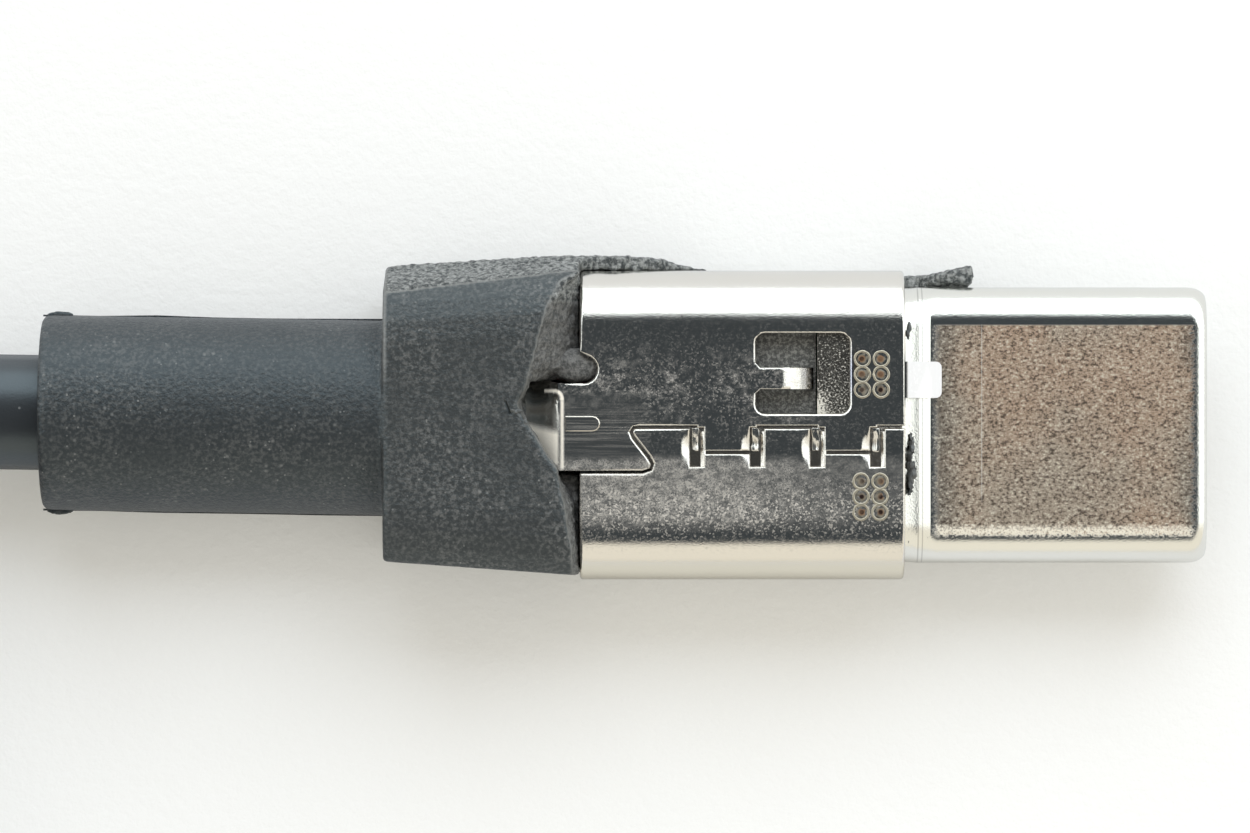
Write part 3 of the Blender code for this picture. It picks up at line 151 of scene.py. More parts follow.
def roughen(piece, name, grain, strength, depth=2, mid_level=0.5, **settings):
    """Pushes the surface in and out by a cloudy pattern."""
    pattern = bpy.data.textures.new(name, "CLOUDS")
    pattern.noise_scale = grain
    pattern.noise_depth = depth
    modify(piece, "DISPLACE", texture=pattern, strength=strength, mid_level=mid_level, **settings)


def smooth(piece, degrees):
    pick(piece)
    bpy.ops.object.shade_smooth_by_angle(angle=math.radians(degrees))


def place(piece):
    """Moves a piece's place, turn and size into its mesh."""
    pick(piece)
    bpy.ops.object.transform_apply(location=True, rotation=True, scale=True)
    return piece


def joined(pieces, name):
    bpy.ops.object.select_all(action="DESELECT")
    for piece in pieces:
        piece.select_set(True)
    bpy.context.view_layer.objects.active = pieces[0]
    bpy.ops.object.join()
    return place(added(name))


def added(name):
    """Names the piece that an operator has just made."""
    piece = bpy.context.object
    piece.name = name
    piece.data.name = name
    return piece


def block(name, centre, size, turn=0.0):
    """A box of this size round a centre, turned about Z."""
    pick_none()
    bpy.ops.mesh.primitive_cube_add(size=1, location=centre)
    piece = added(name)
    piece.scale = size
    piece.rotation_euler = (0, 0, turn)
    return place(piece)


def fit(piece, finish, replaced=()):
    """Gives a piece its finish, makes it ride on the plug and lets it stand for the solids it replaces."""
    piece.data.materials.clear()
    piece.data.materials.append(finish)
    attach(piece, "root")
    if replaced:
        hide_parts(*replaced)
    return piece


def copy_of(node, name):
    """A copy of a solid, with its loose triangles joined to clean faces."""
    piece = bpy.data.objects.new(name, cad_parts[node].data.copy())
    bpy.context.scene.collection.objects.link(piece)
    pick(piece)
    bpy.ops.mesh.customdata_custom_splitnormals_clear()
    editing(piece, everything=True)
    bpy.ops.mesh.remove_doubles(threshold=merge_distance)
    bpy.ops.mesh.dissolve_limited(angle_limit=math.radians(0.6))
    return done(piece)


def round_edges(piece, width, segments=2, degrees=28):
    modify(
        piece, "BEVEL", width=width, segments=segments, use_clamp_overlap=True, limit_method="ANGLE",
        angle_limit=math.radians(degrees))
    smooth(piece, 40)
    modify(piece, "WEIGHTED_NORMAL", keep_sharp=True, weight=80)


# Finishes: shader maths as plain sums

class Value:
    """A socket in a finish. Sums and products of values add Math nodes."""

    def __init__(self, finish, socket):
        self.finish = finish
        self.socket = socket

    def sum_with(self, operation, first, second):
        return self.finish.node("ShaderNodeMath", {"operation": operation}, {0: first, 1: second})

    def __add__(self, other):
        return self.sum_with("ADD", self, other)

    def __sub__(self, other):
        return self.sum_with("SUBTRACT", self, other)

    def __mul__(self, other):
        return self.sum_with("MULTIPLY", self, other)

    def __truediv__(self, other):
        return self.sum_with("DIVIDE", self, other)

    def __radd__(self, other):
        return self.sum_with("ADD", other, self)

    def __rsub__(self, other):
        return self.sum_with("SUBTRACT", other, self)

    def __rmul__(self, other):
        return self.sum_with("MULTIPLY", other, self)

    def __rtruediv__(self, other):
        return self.sum_with("DIVIDE", other, self)

    def __abs__(self):
        return self.finish.node("ShaderNodeMath", {"operation": "ABSOLUTE"}, {0: self})

    def band(self, low, high, start=0.0, end=1.0):
        """Goes smoothly from start to end as the value goes from low to high."""
        spread = {"From Min": low, "From Max": high, "To Min": start, "To Max": end, "Value": self}
        return self.finish.node("ShaderNodeMapRange", {"interpolation_type": "SMOOTHSTEP"}, spread)

    def near(self, centre, reach):
        """1 at the centre, falling to 0 at reach to either side."""
        return abs(self - centre).band(0.0, reach, 1.0, 0.0)


class Finish:
    """A node material or world under construction."""

    def __init__(self, owner):
        self.owner = owner
        owner.use_nodes = True
        self.tree = owner.node_tree

    def node(self, kind, settings=None, inputs=None, output=0):
        """Adds a node: its settings first, then the values or links of its sockets."""
        made = self.tree.nodes.new(kind)
        for key, value in (settings or {}).items():
            setattr(made, key, value)
        for key, value in (inputs or {}).items():
            self.feed(made.inputs[key], value)
        return Value(self, made.outputs[output])

    def feed(self, socket, value):
        if isinstance(value, Value):
            self.tree.links.new(value.socket, socket)
        elif isinstance(value, (tuple, list)) and len(socket.default_value) == 4:
            socket.default_value = (*value, 1.0)
        else:
            socket.default_value = value

    def position(self):
        return self.node("ShaderNodeTexCoord", output="Object")

    def axes(self, where=None):
        split = self.node("ShaderNodeSeparateXYZ", None, {0: where or self.position()})
        return tuple(Value(self, socket) for socket in split.socket.node.outputs)

    def stretched(self, scale):
        return self.node("ShaderNodeMapping", None, {"Vector": self.position(), "Scale": scale})

    def noise(self, per_metre, detail=2.0, rough=0.5, where=None):
        where = where or self.position()
        inputs = {"Vector": where, "Scale": per_metre, "Detail": detail, "Roughness": rough}
        return self.node("ShaderNodeTexNoise", None, inputs)

    def cells(self, per_metre, output="Distance"):
        inputs = {"Vector": self.position(), "Scale": per_metre}
        return self.node("ShaderNodeTexVoronoi", None, inputs, output)

    def specks(self, per_metre, size, share):
        """1 inside a small dot in a share of the cells."""
        picked = self.random_cells(per_metre).band(share - 0.01, share, 1.0, 0.0)
        return self.cells(per_metre).band(size * 0.6, size, 1.0, 0.0) * picked

    def random_cells(self, per_metre):
        """A value of its own for each small cell, from 0 to 1."""
        return self.node("ShaderNodeSeparateColor", None, {0: self.cells(per_metre, "Color")})

    def ray(self, kind):
        """1 for rays of a kind, such as those that come from the camera."""
        return self.node("ShaderNodeLightPath", output=kind)

    def mix(self, share, first, second):
        """Mixes two colours. A Mix node has its colours at sockets 6 and 7, and at output 2."""
        return self.node("ShaderNodeMix", {"data_type": "RGBA"}, {0: share, 6: first, 7: second}, 2)

    def bump(self, height, depth, normal=None):
        """A relief of this depth, on top of another if one is given."""
        inputs = {"Height": height, "Distance": depth, "Strength": 1.0}
        if normal:
            inputs["Normal"] = normal
        return self.node("ShaderNodeBump", None, inputs)

    def surface(self, **inputs):
        """Feeds the shader's sockets by name and gives back the material."""
        shader = self.tree.nodes["Principled BSDF"]
        for key, value in inputs.items():
            self.feed(shader.inputs[key.replace("_", " ").title().replace("Ior", "IOR")], value)
        return self.owner


def new_finish(name):
    return Finish(bpy.data.materials.new(name))


def rubber_finish():
    """The moulded rubber: matte, mottled and a little dusty, and paler and rough where it was cut or torn."""
    finish = new_finish("moulded_rubber")
    x, y, _ = finish.axes()
    torn = finish.node("ShaderNodeAttribute", {"attribute_name": "torn"}, output="Fac")
    cloud = finish.noise(350, 3)
    grain = finish.noise(8200, 3, 0.6)
    mottle = finish.noise(8600, 3, 0.6)
    crumbs = finish.noise(6500, 4, 0.75)

    # The moulded skin: darker on the strain relief, with worn patches and dust
    dusty = cloud.band(0.38, 0.62)
    sleeve = x.band(-7.3 * MM, -7.1 * MM)
    skin = finish.mix(sleeve, (0.026, 0.029, 0.031), (0.036, 0.038, 0.038))
    pale_marks = mottle.band(0.42, 0.68) * (0.38 + dusty * 0.4) * (0.6 + sleeve * 0.4)
    skin = finish.mix(pale_marks, skin, (0.150, 0.148, 0.142))
    one_in_seven = finish.random_cells(4400).band(0.14, 0.15, 1.0, 0.0)
    dust = finish.cells(4400).band(0.04, 0.36, 1.0, 0.0) * one_in_seven
    dust = dust * 0.28 + finish.specks(9000, 0.34, 0.06) * 0.35
    skin = finish.mix(dust * (0.35 + dusty * 0.65), skin, (0.45, 0.45, 0.43))

    # The crease at the tip of the tear, darkened as painted shade, and the sleeve's rear rim, lightened as a
    # painted highlight
    crease_x, crease_y = -3.48 * MM, 0.52 * MM
    slant = x - crease_x + (y - crease_y) * 0.4
    shaded_crease = slant.near(0.0, 0.06 * MM) * y.near(crease_y, 0.26 * MM).band(0.0, 0.3)
    # Painted shade: the crease is darkened almost to black
    skin = finish.mix(shaded_crease * 0.9, skin, (0.006, 0.006, 0.006))
    # Painted highlight: the sleeve's rear edge is lightened where its bevel catches the light
    rear_rim_highlight = x.near(-7.14 * MM, 0.1 * MM) * y.band(0.9 * MM, 2.0 * MM)
    skin = finish.mix(rear_rim_highlight * 0.5, skin, (0.34, 0.34, 0.33))

    # Raw rubber, with more contrast where the knife went
    knife_cut = y.band(3.5 * MM, 3.8 * MM)
    dark_raw = finish.mix(knife_cut, (0.075, 0.073, 0.069), (0.045, 0.046, 0.045))
    pale_raw = finish.mix(knife_cut, (0.215, 0.21, 0.20), (0.36, 0.365, 0.35))
    raw = finish.mix(crumbs.band(0.38, 0.64), dark_raw, pale_raw)
    colour = finish.mix(torn, skin, raw)
    colour = finish.mix(torn.near(0.45, 0.4) * 0.55, colour, (0.24, 0.238, 0.225))
    roughness = 0.31 + grain * 0.16 + torn * 0.35
    fine = finish.bump(grain * (1 - torn) - shaded_crease * 3.0, 0.045 * MM)
    coarse = finish.bump(crumbs * torn, 0.06 * MM, fine)
    return finish.surface(
        base_color=colour, roughness=roughness, normal=coarse, specular_ior_level=0.62,
        specular_tint=(0.74, 0.91, 1.0))


def jacket_finish():
    """The cord's smooth jacket, with a few specks of dust."""
    finish = new_finish("cord_jacket")
    cloud = finish.noise(240, 2)
    grain = finish.noise(11000, 2, 0.6)
    dust = finish.specks(2600, 0.12, 0.08)
    colour = finish.mix(cloud, (0.027, 0.028, 0.031), (0.037, 0.039, 0.042))
    colour = finish.mix(dust * 0.4, colour, (0.4, 0.4, 0.4))
    return finish.surface(
        base_color=colour, roughness=0.3 + grain * 0.1, normal=finish.bump(grain, 0.006 * MM),
        specular_ior_level=1.0, specular_tint=(0.76, 0.92, 1.0))


def can_finish():
    """Bright nickel: a dark mirror with smudges, grey film, brushed lines, dents at the seam and heat tint,
    painted highlights at the strip's bends and on the tab, and a painted reflection along its -Y side.
    """
    finish = new_finish("smudged_nickel")
    x, y, z = finish.axes()
    on_top = z.band(can_top_z - 0.45 * MM, can_top_z - 0.3 * MM)
    cloud = finish.noise(650, 3, 0.6)
    mottle = finish.noise(1, 5, 0.78, finish.stretched((2600, 3600, 3600)))
    grain = finish.noise(19000, 2, 0.7)
    glitter = finish.random_cells(17000)

    # Smudges on the upper half, and a grey film with sparkles on the lower half
    middle = y.near(1.0 * MM, 1.9 * MM) * x.band(6.8 * MM, 4.6 * MM)
    lower_half = y.band(-0.8 * MM, -1.2 * MM) * y.band(-3.3 * MM, -2.6 * MM)
    speckled = mottle.band(0.34, 0.66, 0.22, 1.0) * grain.band(0.32, 0.62, 0.45, 1.15)
    lower_film = lower_half * speckled * x.band(8.2 * MM, 1.6 * MM, 0.32, 1.0)
    smudge = middle * mottle.band(0.46, 0.68) * cloud.band(0.40, 0.60)
    gleam = glitter.band(0.45, 1.0) * grain.band(0.40, 0.60)
    sparkle = gleam * (0.12 + y.near(-2.6 * MM, 1.2 * MM) * 1.1 + middle * 0.35)

    # The strip at the rear, brushed along its length, with painted highlights at its bends and its fold
    brushed = finish.noise(1, 2, 0.5, finish.stretched((500, 26000, 26000)))
    strip = x.band(0.85 * MM, 0.45 * MM) * y.near(-0.1 * MM, 1.35 * MM)
    bend_line = x.near(strip_bend_x, 0.09 * MM) * y.near(-0.27 * MM, 1.14 * MM).band(0.0, 0.05)
    turn_x, turn_y = x - (strip_bend_x - fold_radius), y - (fold_edge_y - fold_radius)
    turn = (turn_x * turn_x + turn_y * turn_y).near(fold_radius * fold_radius, 0.04 * MM * MM)
    turn = turn * turn_x.band(-0.06 * MM, -0.02 * MM) * turn_y.band(-0.06 * MM, -0.02 * MM)
    behind_bend = x.band(-1.94 * MM, -2.04 * MM) * y.band(-1.25 * MM, -1.1 * MM)
    fold_corner = y.near(fold_edge_y, 0.09 * MM) * x.near(-2.27 * MM, 0.17 * MM).band(0.0, 0.2)
    # Painted highlights where the strip bends and folds: pale colour, with the metal taken away
    pale_marks = behind_bend * (y + x * 0.25).band(-0.55 * MM, -0.85 * MM) + bend_line + turn * 1.3 + fold_corner
    on_strip = x.band(1.0 * MM, 0.2 * MM) * y.near(0.0, 1.3 * MM).band(0.0, 0.3)
    rib_shade = x.near(-1.3 * MM, 0.85 * MM).band(0.0, 0.3) * y.near(0.02 * MM, 0.34 * MM).band(0.0, 0.5)
    smudged = (lower_film * 0.80 + smudge * 0.55 + sparkle) * (1 - on_strip * 0.75) * (1 - rib_shade)
    film = (smudged + strip * brushed.band(0.45, 0.65) * 0.2) * on_top

    # The tab on the neck, painted white as a highlight, and heat tint beside the window
    tab_highlight = x.band(8.36 * MM, 8.44 * MM)
    tint_line = x.near(6.74 * MM, 0.11 * MM) * y.near(1.55 * MM, 1.1 * MM) * on_top
    gold_line = x.near(6.84 * MM, 0.12 * MM) * y.near(1.7 * MM, 0.9 * MM) * on_top
    colour = finish.mix(film, (0.82, 0.79, 0.74), (0.62, 0.585, 0.53))
    colour = finish.mix(gold_line * 0.6, colour, (0.70, 0.50, 0.22))
    colour = finish.mix(tint_line * 0.5, colour, (0.32, 0.40, 0.72))
    # Painted reflection: the can's -Y side is warmer and darker, as it mirrors the shaded table
    colour = finish.mix(y.band(-3.9 * MM, -4.3 * MM), colour, (0.77, 0.72, 0.60))
    colour = finish.mix(pale_marks, colour, (1.0, 0.94, 0.82))
    # Painted highlight: the tab is white and mostly not metal
    colour = finish.mix(tab_highlight, colour, (1.0, 1.0, 1.0))
    metallic = 1 - film * 0.6 - pale_marks * 0.95 - tab_highlight * 0.9

    # The sheet is pressed in beside the slots, and the tongue slopes down from its root
    dents = 0.0
    for left in slot_lefts:
        dents = x.near((left + 0.05) * MM, 0.38 * MM) + dents
    dents = dents * y.near(-0.66 * MM, 0.68 * MM) * on_top
    roughness = 0.12 + film * 0.3 + strip * 0.08 + dents * 0.2
    past_root = x.band(tongue_root_x, tongue_root_x + 0.02 * MM)
    before_tip = x.band(tongue_tip_x, tongue_tip_x - 0.05 * MM)
    on_tongue = past_root * before_tip * y.near(tongue_y, tongue_reach).band(0.0, 0.1)
    past = on_tongue * (x - tongue_root_x) / MM
    tongue_fall = 1 - past * past / (past + 0.2)
    fine = finish.bump(grain, 0.004 * MM)
    lines = finish.bump(brushed * strip, 0.004 * MM, fine)
    pressed = finish.bump(1 - dents, 0.17 * MM, lines)
    sloped = finish.bump(tongue_fall, 0.6 * MM, pressed)
    waves = finish.bump(finish.noise(260, 2), 0.035 * MM, sloped)
    return finish.surface(base_color=colour, roughness=roughness, metallic=metallic, normal=waves)


def shell_finish():
    """Satin nickel: its flat side painted bronze as a painted reflection and sparkling with painted glints,
    bright round it, with a witness line.
    """
    finish = new_finish("satin_nickel_shell")
    x, y, z = finish.axes()
    grain = finish.noise(1, 3, 0.65, finish.stretched((10400, 14000, 14000)))
    fine = finish.noise(17000, 2, 0.7)
    cloud = finish.noise(300, 3, 0.6)
    patches = finish.noise(520, 2, 0.5)

    # The flat top, with ragged borders and greyer ends
    rag = grain * 0.5 * MM
    on_flat = z.band(shell_top_z - 0.12 * MM, shell_top_z - 0.04 * MM) * (x + rag).band(9.35 * MM, 9.65 * MM)
    inside = y.band(3.02 * MM, 2.96 * MM) * (y - rag).band(-3.62 * MM, -3.52 * MM)
    flat = on_flat * inside * (x + rag * 1.5).band(17.45 * MM, 17.25 * MM)
    edge = (x.band(10.3 * MM, 9.3 * MM) + x.band(16.2 * MM, 17.0 * MM) * patches.band(0.4, 0.6)) * 0.6

    # Painted glints and dark pits in the painted reflection, a painted highlight along the lower side, and
    # the witness line
    glint = grain.band(0.50, 0.66) * fine.band(0.36, 0.56)
    pit = grain.band(0.50, 0.36)
    lower_glow = (y - grain * 0.35 * MM).band(-3.06 * MM, -3.34 * MM) * fine.band(0.28, 0.54) * 0.92
    line = x.near(10.65 * MM, 0.016 * MM) * y.near(0.4 * MM, 3.0 * MM).band(0.0, 0.1)
    # Painted reflection: the flat top takes a bronze tone for what it mirrors, greyer at its ends
    bronze_reflection = finish.mix(cloud.band(0.35, 0.65), (0.58, 0.475, 0.37), (0.63, 0.455, 0.33))
    bronze_reflection = finish.mix(edge, bronze_reflection, (0.22, 0.215, 0.19))
    bronze_reflection = finish.mix(pit * 0.9, bronze_reflection, (0.10, 0.075, 0.06))
    bronze_reflection = finish.mix(glint + lower_glow, bronze_reflection, (0.98, 0.92, 0.78))
    colour = finish.mix(flat, (0.86, 0.85, 0.80), bronze_reflection)
    # Painted shade: two grey lines along the grooves of the bead
    bead = x.near(8.75 * MM, 0.035 * MM) + x.near(8.88 * MM, 0.03 * MM)
    colour = finish.mix(bead * 0.7, colour, (0.42, 0.41, 0.39))
    colour = finish.mix(line * 0.8, colour, (0.95, 0.93, 0.88))
    metallic = 1 - flat * (0.45 + lower_glow * 0.5)
    roughness = 0.15 + flat * 0.2 + line * 0.2
    return finish.surface(
        base_color=colour, roughness=roughness, metallic=metallic, normal=finish.bump(fine, 0.005 * MM))


def skirt_finish():
    """The rear of the front shell inside the can, painted dark as painted shade in the window, with bright
    specks as painted glints, more of them low on the left.
    """
    finish = new_finish("nickel_skirt_in_painted_shade")
    x, y, _ = finish.axes()
    grain = finish.noise(17000, 3, 0.7)
    # Painted highlight: more bright specks low on the left
    low_left_highlight = y.band(1.3 * MM, 0.5 * MM) * x.band(6.2 * MM, 5.7 * MM)
    specks = (grain + low_left_highlight * 0.16 + y.band(2.2 * MM, 0.4 * MM) * 0.03).band(0.54, 0.66)
    tone = finish.mix(specks, (0.20, 0.185, 0.165), (0.92, 0.88, 0.78))
    return finish.surface(
        base_color=tone, roughness=0.3, metallic=1 - specks * 0.7, normal=finish.bump(grain, 0.02 * MM))


def plain_metal(name, colour, roughness, grain_depth=0.004):
    finish = new_finish(name)
    cloud = finish.noise(900, 3)
    grain = finish.noise(9000, 2)
    tone = finish.mix(cloud, colour, tuple(part * 0.82 for part in colour))
    height = finish.bump(grain, grain_depth * MM)
    return finish.surface(base_color=tone, roughness=roughness + cloud * 0.1, metallic=1.0, normal=height)


def plain_plastic(name, colour, roughness, grain_depth=0.006):
    finish = new_finish(name)
    cloud = finish.noise(500, 3)
    grain = finish.noise(8000, 2)
    tone = finish.mix(cloud, colour, tuple(part * 1.25 for part in colour))
    height = finish.bump(grain, grain_depth * MM)
    return finish.surface(base_color=tone, roughness=roughness + grain * 0.1, normal=height)


def mould_finish():
    """The grey filling inside the can, coarse and speckled."""
    finish = new_finish("grey_inner_mould")
    grain = finish.noise(9000, 4, 0.75)
    tone = finish.mix(grain.band(0.44, 0.62), (0.095, 0.096, 0.09), (0.30, 0.30, 0.275))
    return finish.surface(base_color=tone, roughness=0.5, normal=finish.bump(grain, 0.05 * MM))


def weld_finish():
    """Heat-tinted spots: a pale ring round a grey pit, with rust and a dark dot in the middle."""
    finish = new_finish("weld_spot")
    x, y, z = finish.axes()
    high = z.band(can_top_z - 0.004 * MM, can_top_z + 0.014 * MM)
    tone = finish.mix(finish.noise(5200, 3), (0.56, 0.50, 0.38), (0.45, 0.42, 0.35))
    pit = finish.mix(finish.noise(9000, 3, 0.7).band(0.42, 0.6), (0.15, 0.14, 0.12), (0.36, 0.345, 0.30))
    tone = finish.mix(high, pit, tone)
    columns = sum(x.near(column * MM, 0.16 * MM) for column in weld_columns)
    middle = columns * sum(y.near(row * MM, 0.16 * MM) for _, rows in weld_blocks for row in rows)
    rust = middle.band(0.12, 0.5) * finish.noise(900, 1).band(0.4, 0.6, 0.2, 0.8)
    tone = finish.mix(rust, tone, (0.50, 0.27, 0.14))
    dark_dot = middle.band(0.45, 0.75) * finish.noise(1400, 2).band(0.38, 0.55, 0.35, 1.0)
    tone = finish.mix(dark_dot, tone, (0.05, 0.03, 0.025))
    return finish.surface(
        base_color=tone, roughness=0.3, metallic=0.6, normal=finish.bump(finish.noise(9000), 0.01 * MM))


def card_finish():
    finish = new_finish("card_lacquer")
    tone = finish.mix(finish.noise(1200, 3), (0.012, 0.075, 0.04), (0.02, 0.11, 0.055))
    return finish.surface(base_color=tone, roughness=0.35, normal=finish.bump(finish.noise(3000), 0.006 * MM))


def floor_finish():
    """A pale, fine-grained table that looks a little brighter to the camera."""
    finish = new_finish("pale_table")
    grit = finish.noise(2600, 3, 0.7)
    tone = finish.mix(finish.noise(420, 3), (0.775, 0.785, 0.795), (0.79, 0.80, 0.81))
    own_light = finish.mix(finish.ray("Is Camera Ray"), (0, 0, 0), (0.17, 0.163, 0.137))
    height = finish.bump(grit, 0.03 * MM)
    return finish.surface(
        base_color=tone, roughness=0.65, specular_ior_level=0.2, normal=height, emission_color=own_light,
        emission_strength=1.0)


# Camera, light and table

def set_camera():
    """Straight above the plug, with the photograph's frame."""
    data = bpy.data.cameras.new("camera")
    camera = bpy.data.objects.new("camera", data)
    bpy.context.scene.collection.objects.link(camera)
    camera.location = (0.0, picture_centre_y, axis_z + camera_distance)
    data.sensor_width = sensor_width
    data.lens = sensor_width * camera_distance / picture_width
    data.clip_start = 5 * MM
    data.clip_end = 5.0
    bpy.context.scene.camera = camera


def set_light():
    """A big soft window from the +Y side, and a pale room that is dark only straight overhead."""
    data = bpy.data.lights.new("window", "AREA")
    data.shape = "RECTANGLE"
    data.size, data.size_y = window_size
    data.energy = window_power
    data.color = (0.82, 0.90, 1.0)
    lamp = bpy.data.objects.new("window", data)
    bpy.context.scene.collection.objects.link(lamp)
    lamp.location = window_spot
    lamp.rotation_euler = (-window_spot).to_track_quat("-Z", "Y").to_euler()
    lamp.visible_glossy = False
    world = Finish(bpy.data.worlds.new("room"))
    bpy.context.scene.world = world.owner
    x, y, z = world.axes(world.node("ShaderNodeTexCoord", output="Generated"))
    # What metal mirrors: dark in an oval overhead, a little towards -Y, and bright all round it
    oval_y = y + 0.085
    oval = oval_y * oval_y / 0.52 + x * x / 0.5
    away = oval.band(0.86, 1.08) + z.band(0.05, -0.05)
    window_side = world.mix(y.band(-0.4, 0.4), (0.92, 0.88, 0.77), (1.9, 2.05, 2.1))
    mirrored = world.mix(away, (0.046, 0.055, 0.062), window_side)
    colour = world.mix(world.ray("Is Glossy Ray"), (0.78, 0.755, 0.70), mirrored)
    colour = world.mix(world.ray("Is Camera Ray"), colour, (1.0, 1.0, 1.0))
    world.feed(world.tree.nodes["Background"].inputs["Color"], colour)


def lay_table():
    """A pale table top, a hair below the lead."""
    pick_none()
    bpy.ops.mesh.primitive_plane_add(size=1.2, location=(0, 0, -0.02 * MM))
    table = place(added("table"))
    table.data.materials.append(floor_finish())


# The cord's route: out of the strain relief, round the hank and back to the far plug

def relief_middle_y(x):
    """The middle line of the strain relief, which leans a little."""
    return relief_y + relief_lean * (relief_front_x - x)


def eased(share):
    """A share from 0 to 1 that starts and ends gently."""
    share = max(0.0, min(1.0, share))
    return (1 - math.cos(math.pi * share)) / 2


def flank(along, offset):
    """A track of the hank between its round ends: how far along it and how far from its middle line."""
    past = abs(along) - hank_waist / 2
    if past <= 0:
        return along, offset
    bend = (hank_run - hank_waist) / 2
    share = min(1.0, past / bend)
    slope = math.atan(hank_pinch * math.pi / (2 * bend) * math.sin(math.pi * share))
    return along, hank_pinch * eased(share) + offset / math.cos(slope)


def on_track(turn, offset, height):
    """A point of the hank. Turn counts its sections: a run, an end, the run back and the other end."""
    section = int(turn) % 4
    share = turn - int(turn)
    if section in (0, 2):
        along, side = flank(hank_run * (0.5 - share), offset)
        spot = (along, side) if section == 0 else (-along, -side)
    else:
        centre_x = -hank_run / 2 if section == 1 else hank_run / 2
        angle = math.radians((90 if section == 1 else -90) + 180 * share)
        radius = offset + hank_pinch
        spot = (centre_x + radius * math.cos(angle), radius * math.sin(angle))
    return hank_centre + Vector((spot[0], spot[1], height))


def track_state(turn):
    """How far out and how high the cord lies, as it changes from track to track and layer to layer."""
    inside, outside = 0.5 * track_pitch, 1.5 * track_pitch
    offset, height = outside, 0.5 * track_pitch
    one_mm = MM / hank_run
    # Where each change starts and ends, in sections, the track that it leads to and the layer
    changes = (
        (3.0, 3.61, inside, 0.5),
        (7 - 18 * one_mm, 7 - 2 * one_mm, inside, 1.5),
        (11 - 36 * one_mm, 11 - 20 * one_mm, outside, 1.5),
        (15 - 54 * one_mm, 15 - 38 * one_mm, outside, 2.5),
    )
    for start, end, next_offset, layer in changes:
        share = eased((turn - start) / (end - start))
        offset += (next_offset - offset) * share
        height += (layer * track_pitch - height) * share
    return offset, height


def lead_in():
    """Out of the strain relief, down to the table and on to the hank."""
    join = hank_centre.x + hank_run / 2
    bend_start = -20.5 * MM
    drop_start, drop_run = -19.0 * MM, 14.0 * MM
    points = []
    steps = 14
    for i in range(steps):
        x = cord_start_x + (join - cord_start_x) * i / steps
        straight_y = relief_middle_y(max(x, bend_start))
        aside = eased((bend_start - x) / (bend_start - join))
        down = eased((drop_start - x) / drop_run)
        y = straight_y + (hank_centre.y + outer_turn - straight_y) * aside
        points.append(Vector((x, y, axis_z + (0.5 * track_pitch - axis_z) * down)))
    return points


def last_half_turn():
    """Off the top of the hank, down beside it and along to the far plug."""
    points = []
    steps = 18
    over_edge = 0.6
    second_layer = 1.5 * track_pitch
    for i in range(1, steps + 1):
        share = i / steps
        angle = math.radians(90 + 180 * share)
        if share < over_edge:
            tilt = math.pi / 2 * (1 - eased(share / over_edge))
            radius = outer_turn + track_pitch * math.cos(tilt)
            height = second_layer + track_pitch * math.sin(tilt)
        else:
            drop = eased((share - over_edge) / (1 - over_edge))
            radius = outer_turn + track_pitch + 0.26 * MM * drop
            height = second_layer + (far_axis_z - second_layer) * drop
        spot = Vector((radius * math.cos(angle) - hank_run / 2, radius * math.sin(angle), height))
        points.append(hank_centre + spot)
    return points


def tail_out(start):
    """From the hank into the far plug's strain relief."""
    relief_end = far_plug.x - 8.5 * MM
    end_x = far_plug.x - 6.0 * MM
    points = []
    steps = 9
    for i in range(1, steps + 1):
        x = start.x + (end_x - start.x) * i / steps
        aside = eased((x - start.x) / (relief_end - start.x))
        points.append(Vector((x, start.y + (far_plug.y - start.y) * aside, far_axis_z)))
    return points


def cord_route():
    """The knots of the whole lead, with four turns and one more run round the hank."""
    points = lead_in()
    sections = 17
    per_section = 14
    for i in range(sections * per_section + 1):
        turn = i / per_section
        points.append(on_track(turn, *track_state(turn)))
    points += last_half_turn()
    return points + tail_out(points[-1])


def make_cord(finish):
    """The whole lead as one cord, from the strain relief to the far plug."""
    data = bpy.data.curves.new("lead", "CURVE")
    data.dimensions = "3D"
    data.bevel_depth = cord_radius
    data.bevel_resolution = 5
    data.resolution_u = 4
    data.render_resolution_u = 4
    data.use_fill_caps = True
    spline = data.splines.new("BEZIER")
    route = cord_route()
    spline.bezier_points.add(len(route) - 1)
    for knot, point in zip(spline.bezier_points, route):
        knot.co = point
        knot.handle_left_type = "AUTO"
        knot.handle_right_type = "AUTO"
    cord = bpy.data.objects.new("lead", data)
    bpy.context.scene.collection.objects.link(cord)
    return fit(cord, finish, ("cord", "cord_hank", "cord_tail"))


# The torn moulding

def mark_torn(piece, test):
    """Writes how raw the surface is at each corner point, from 0 on moulded skin to 1 in a cut or tear."""
    mark = piece.data.attributes.new("torn", "FLOAT", "POINT")
    for vertex in piece.data.vertices:
        mark.data[vertex.index].value = test(vertex.co, vertex.normal)


def ramp(value, low, high):
    return max(0.0, min(1.0, (value - low) / (high - low)))


def torn_rim_x(y):
    """Where the skin on top of the sleeve ends, for each place across it. The rim is y and x in mm."""
    rim = (
        (-5.6, -1.5), (-3.75, -1.59), (-2.37, -1.8), (-1.34, -2.0), (-0.5, -2.55), (-0.06, -2.83),
        (0.6, -3.2), (1.1, -2.95), (1.62, -2.83), (2.8, -2.52), (3.5, -2.34), (4.3, -1.93),
        (4.65, -1.26), (5.6, -1.26),
    )
    for (y0, x0), (y1, x1) in zip(rim, rim[1:]):
        if y / MM <= y1:
            return (x0 + (x1 - x0) * ramp(y / MM, y0, y1)) * MM
    return rim[-1][1] * MM


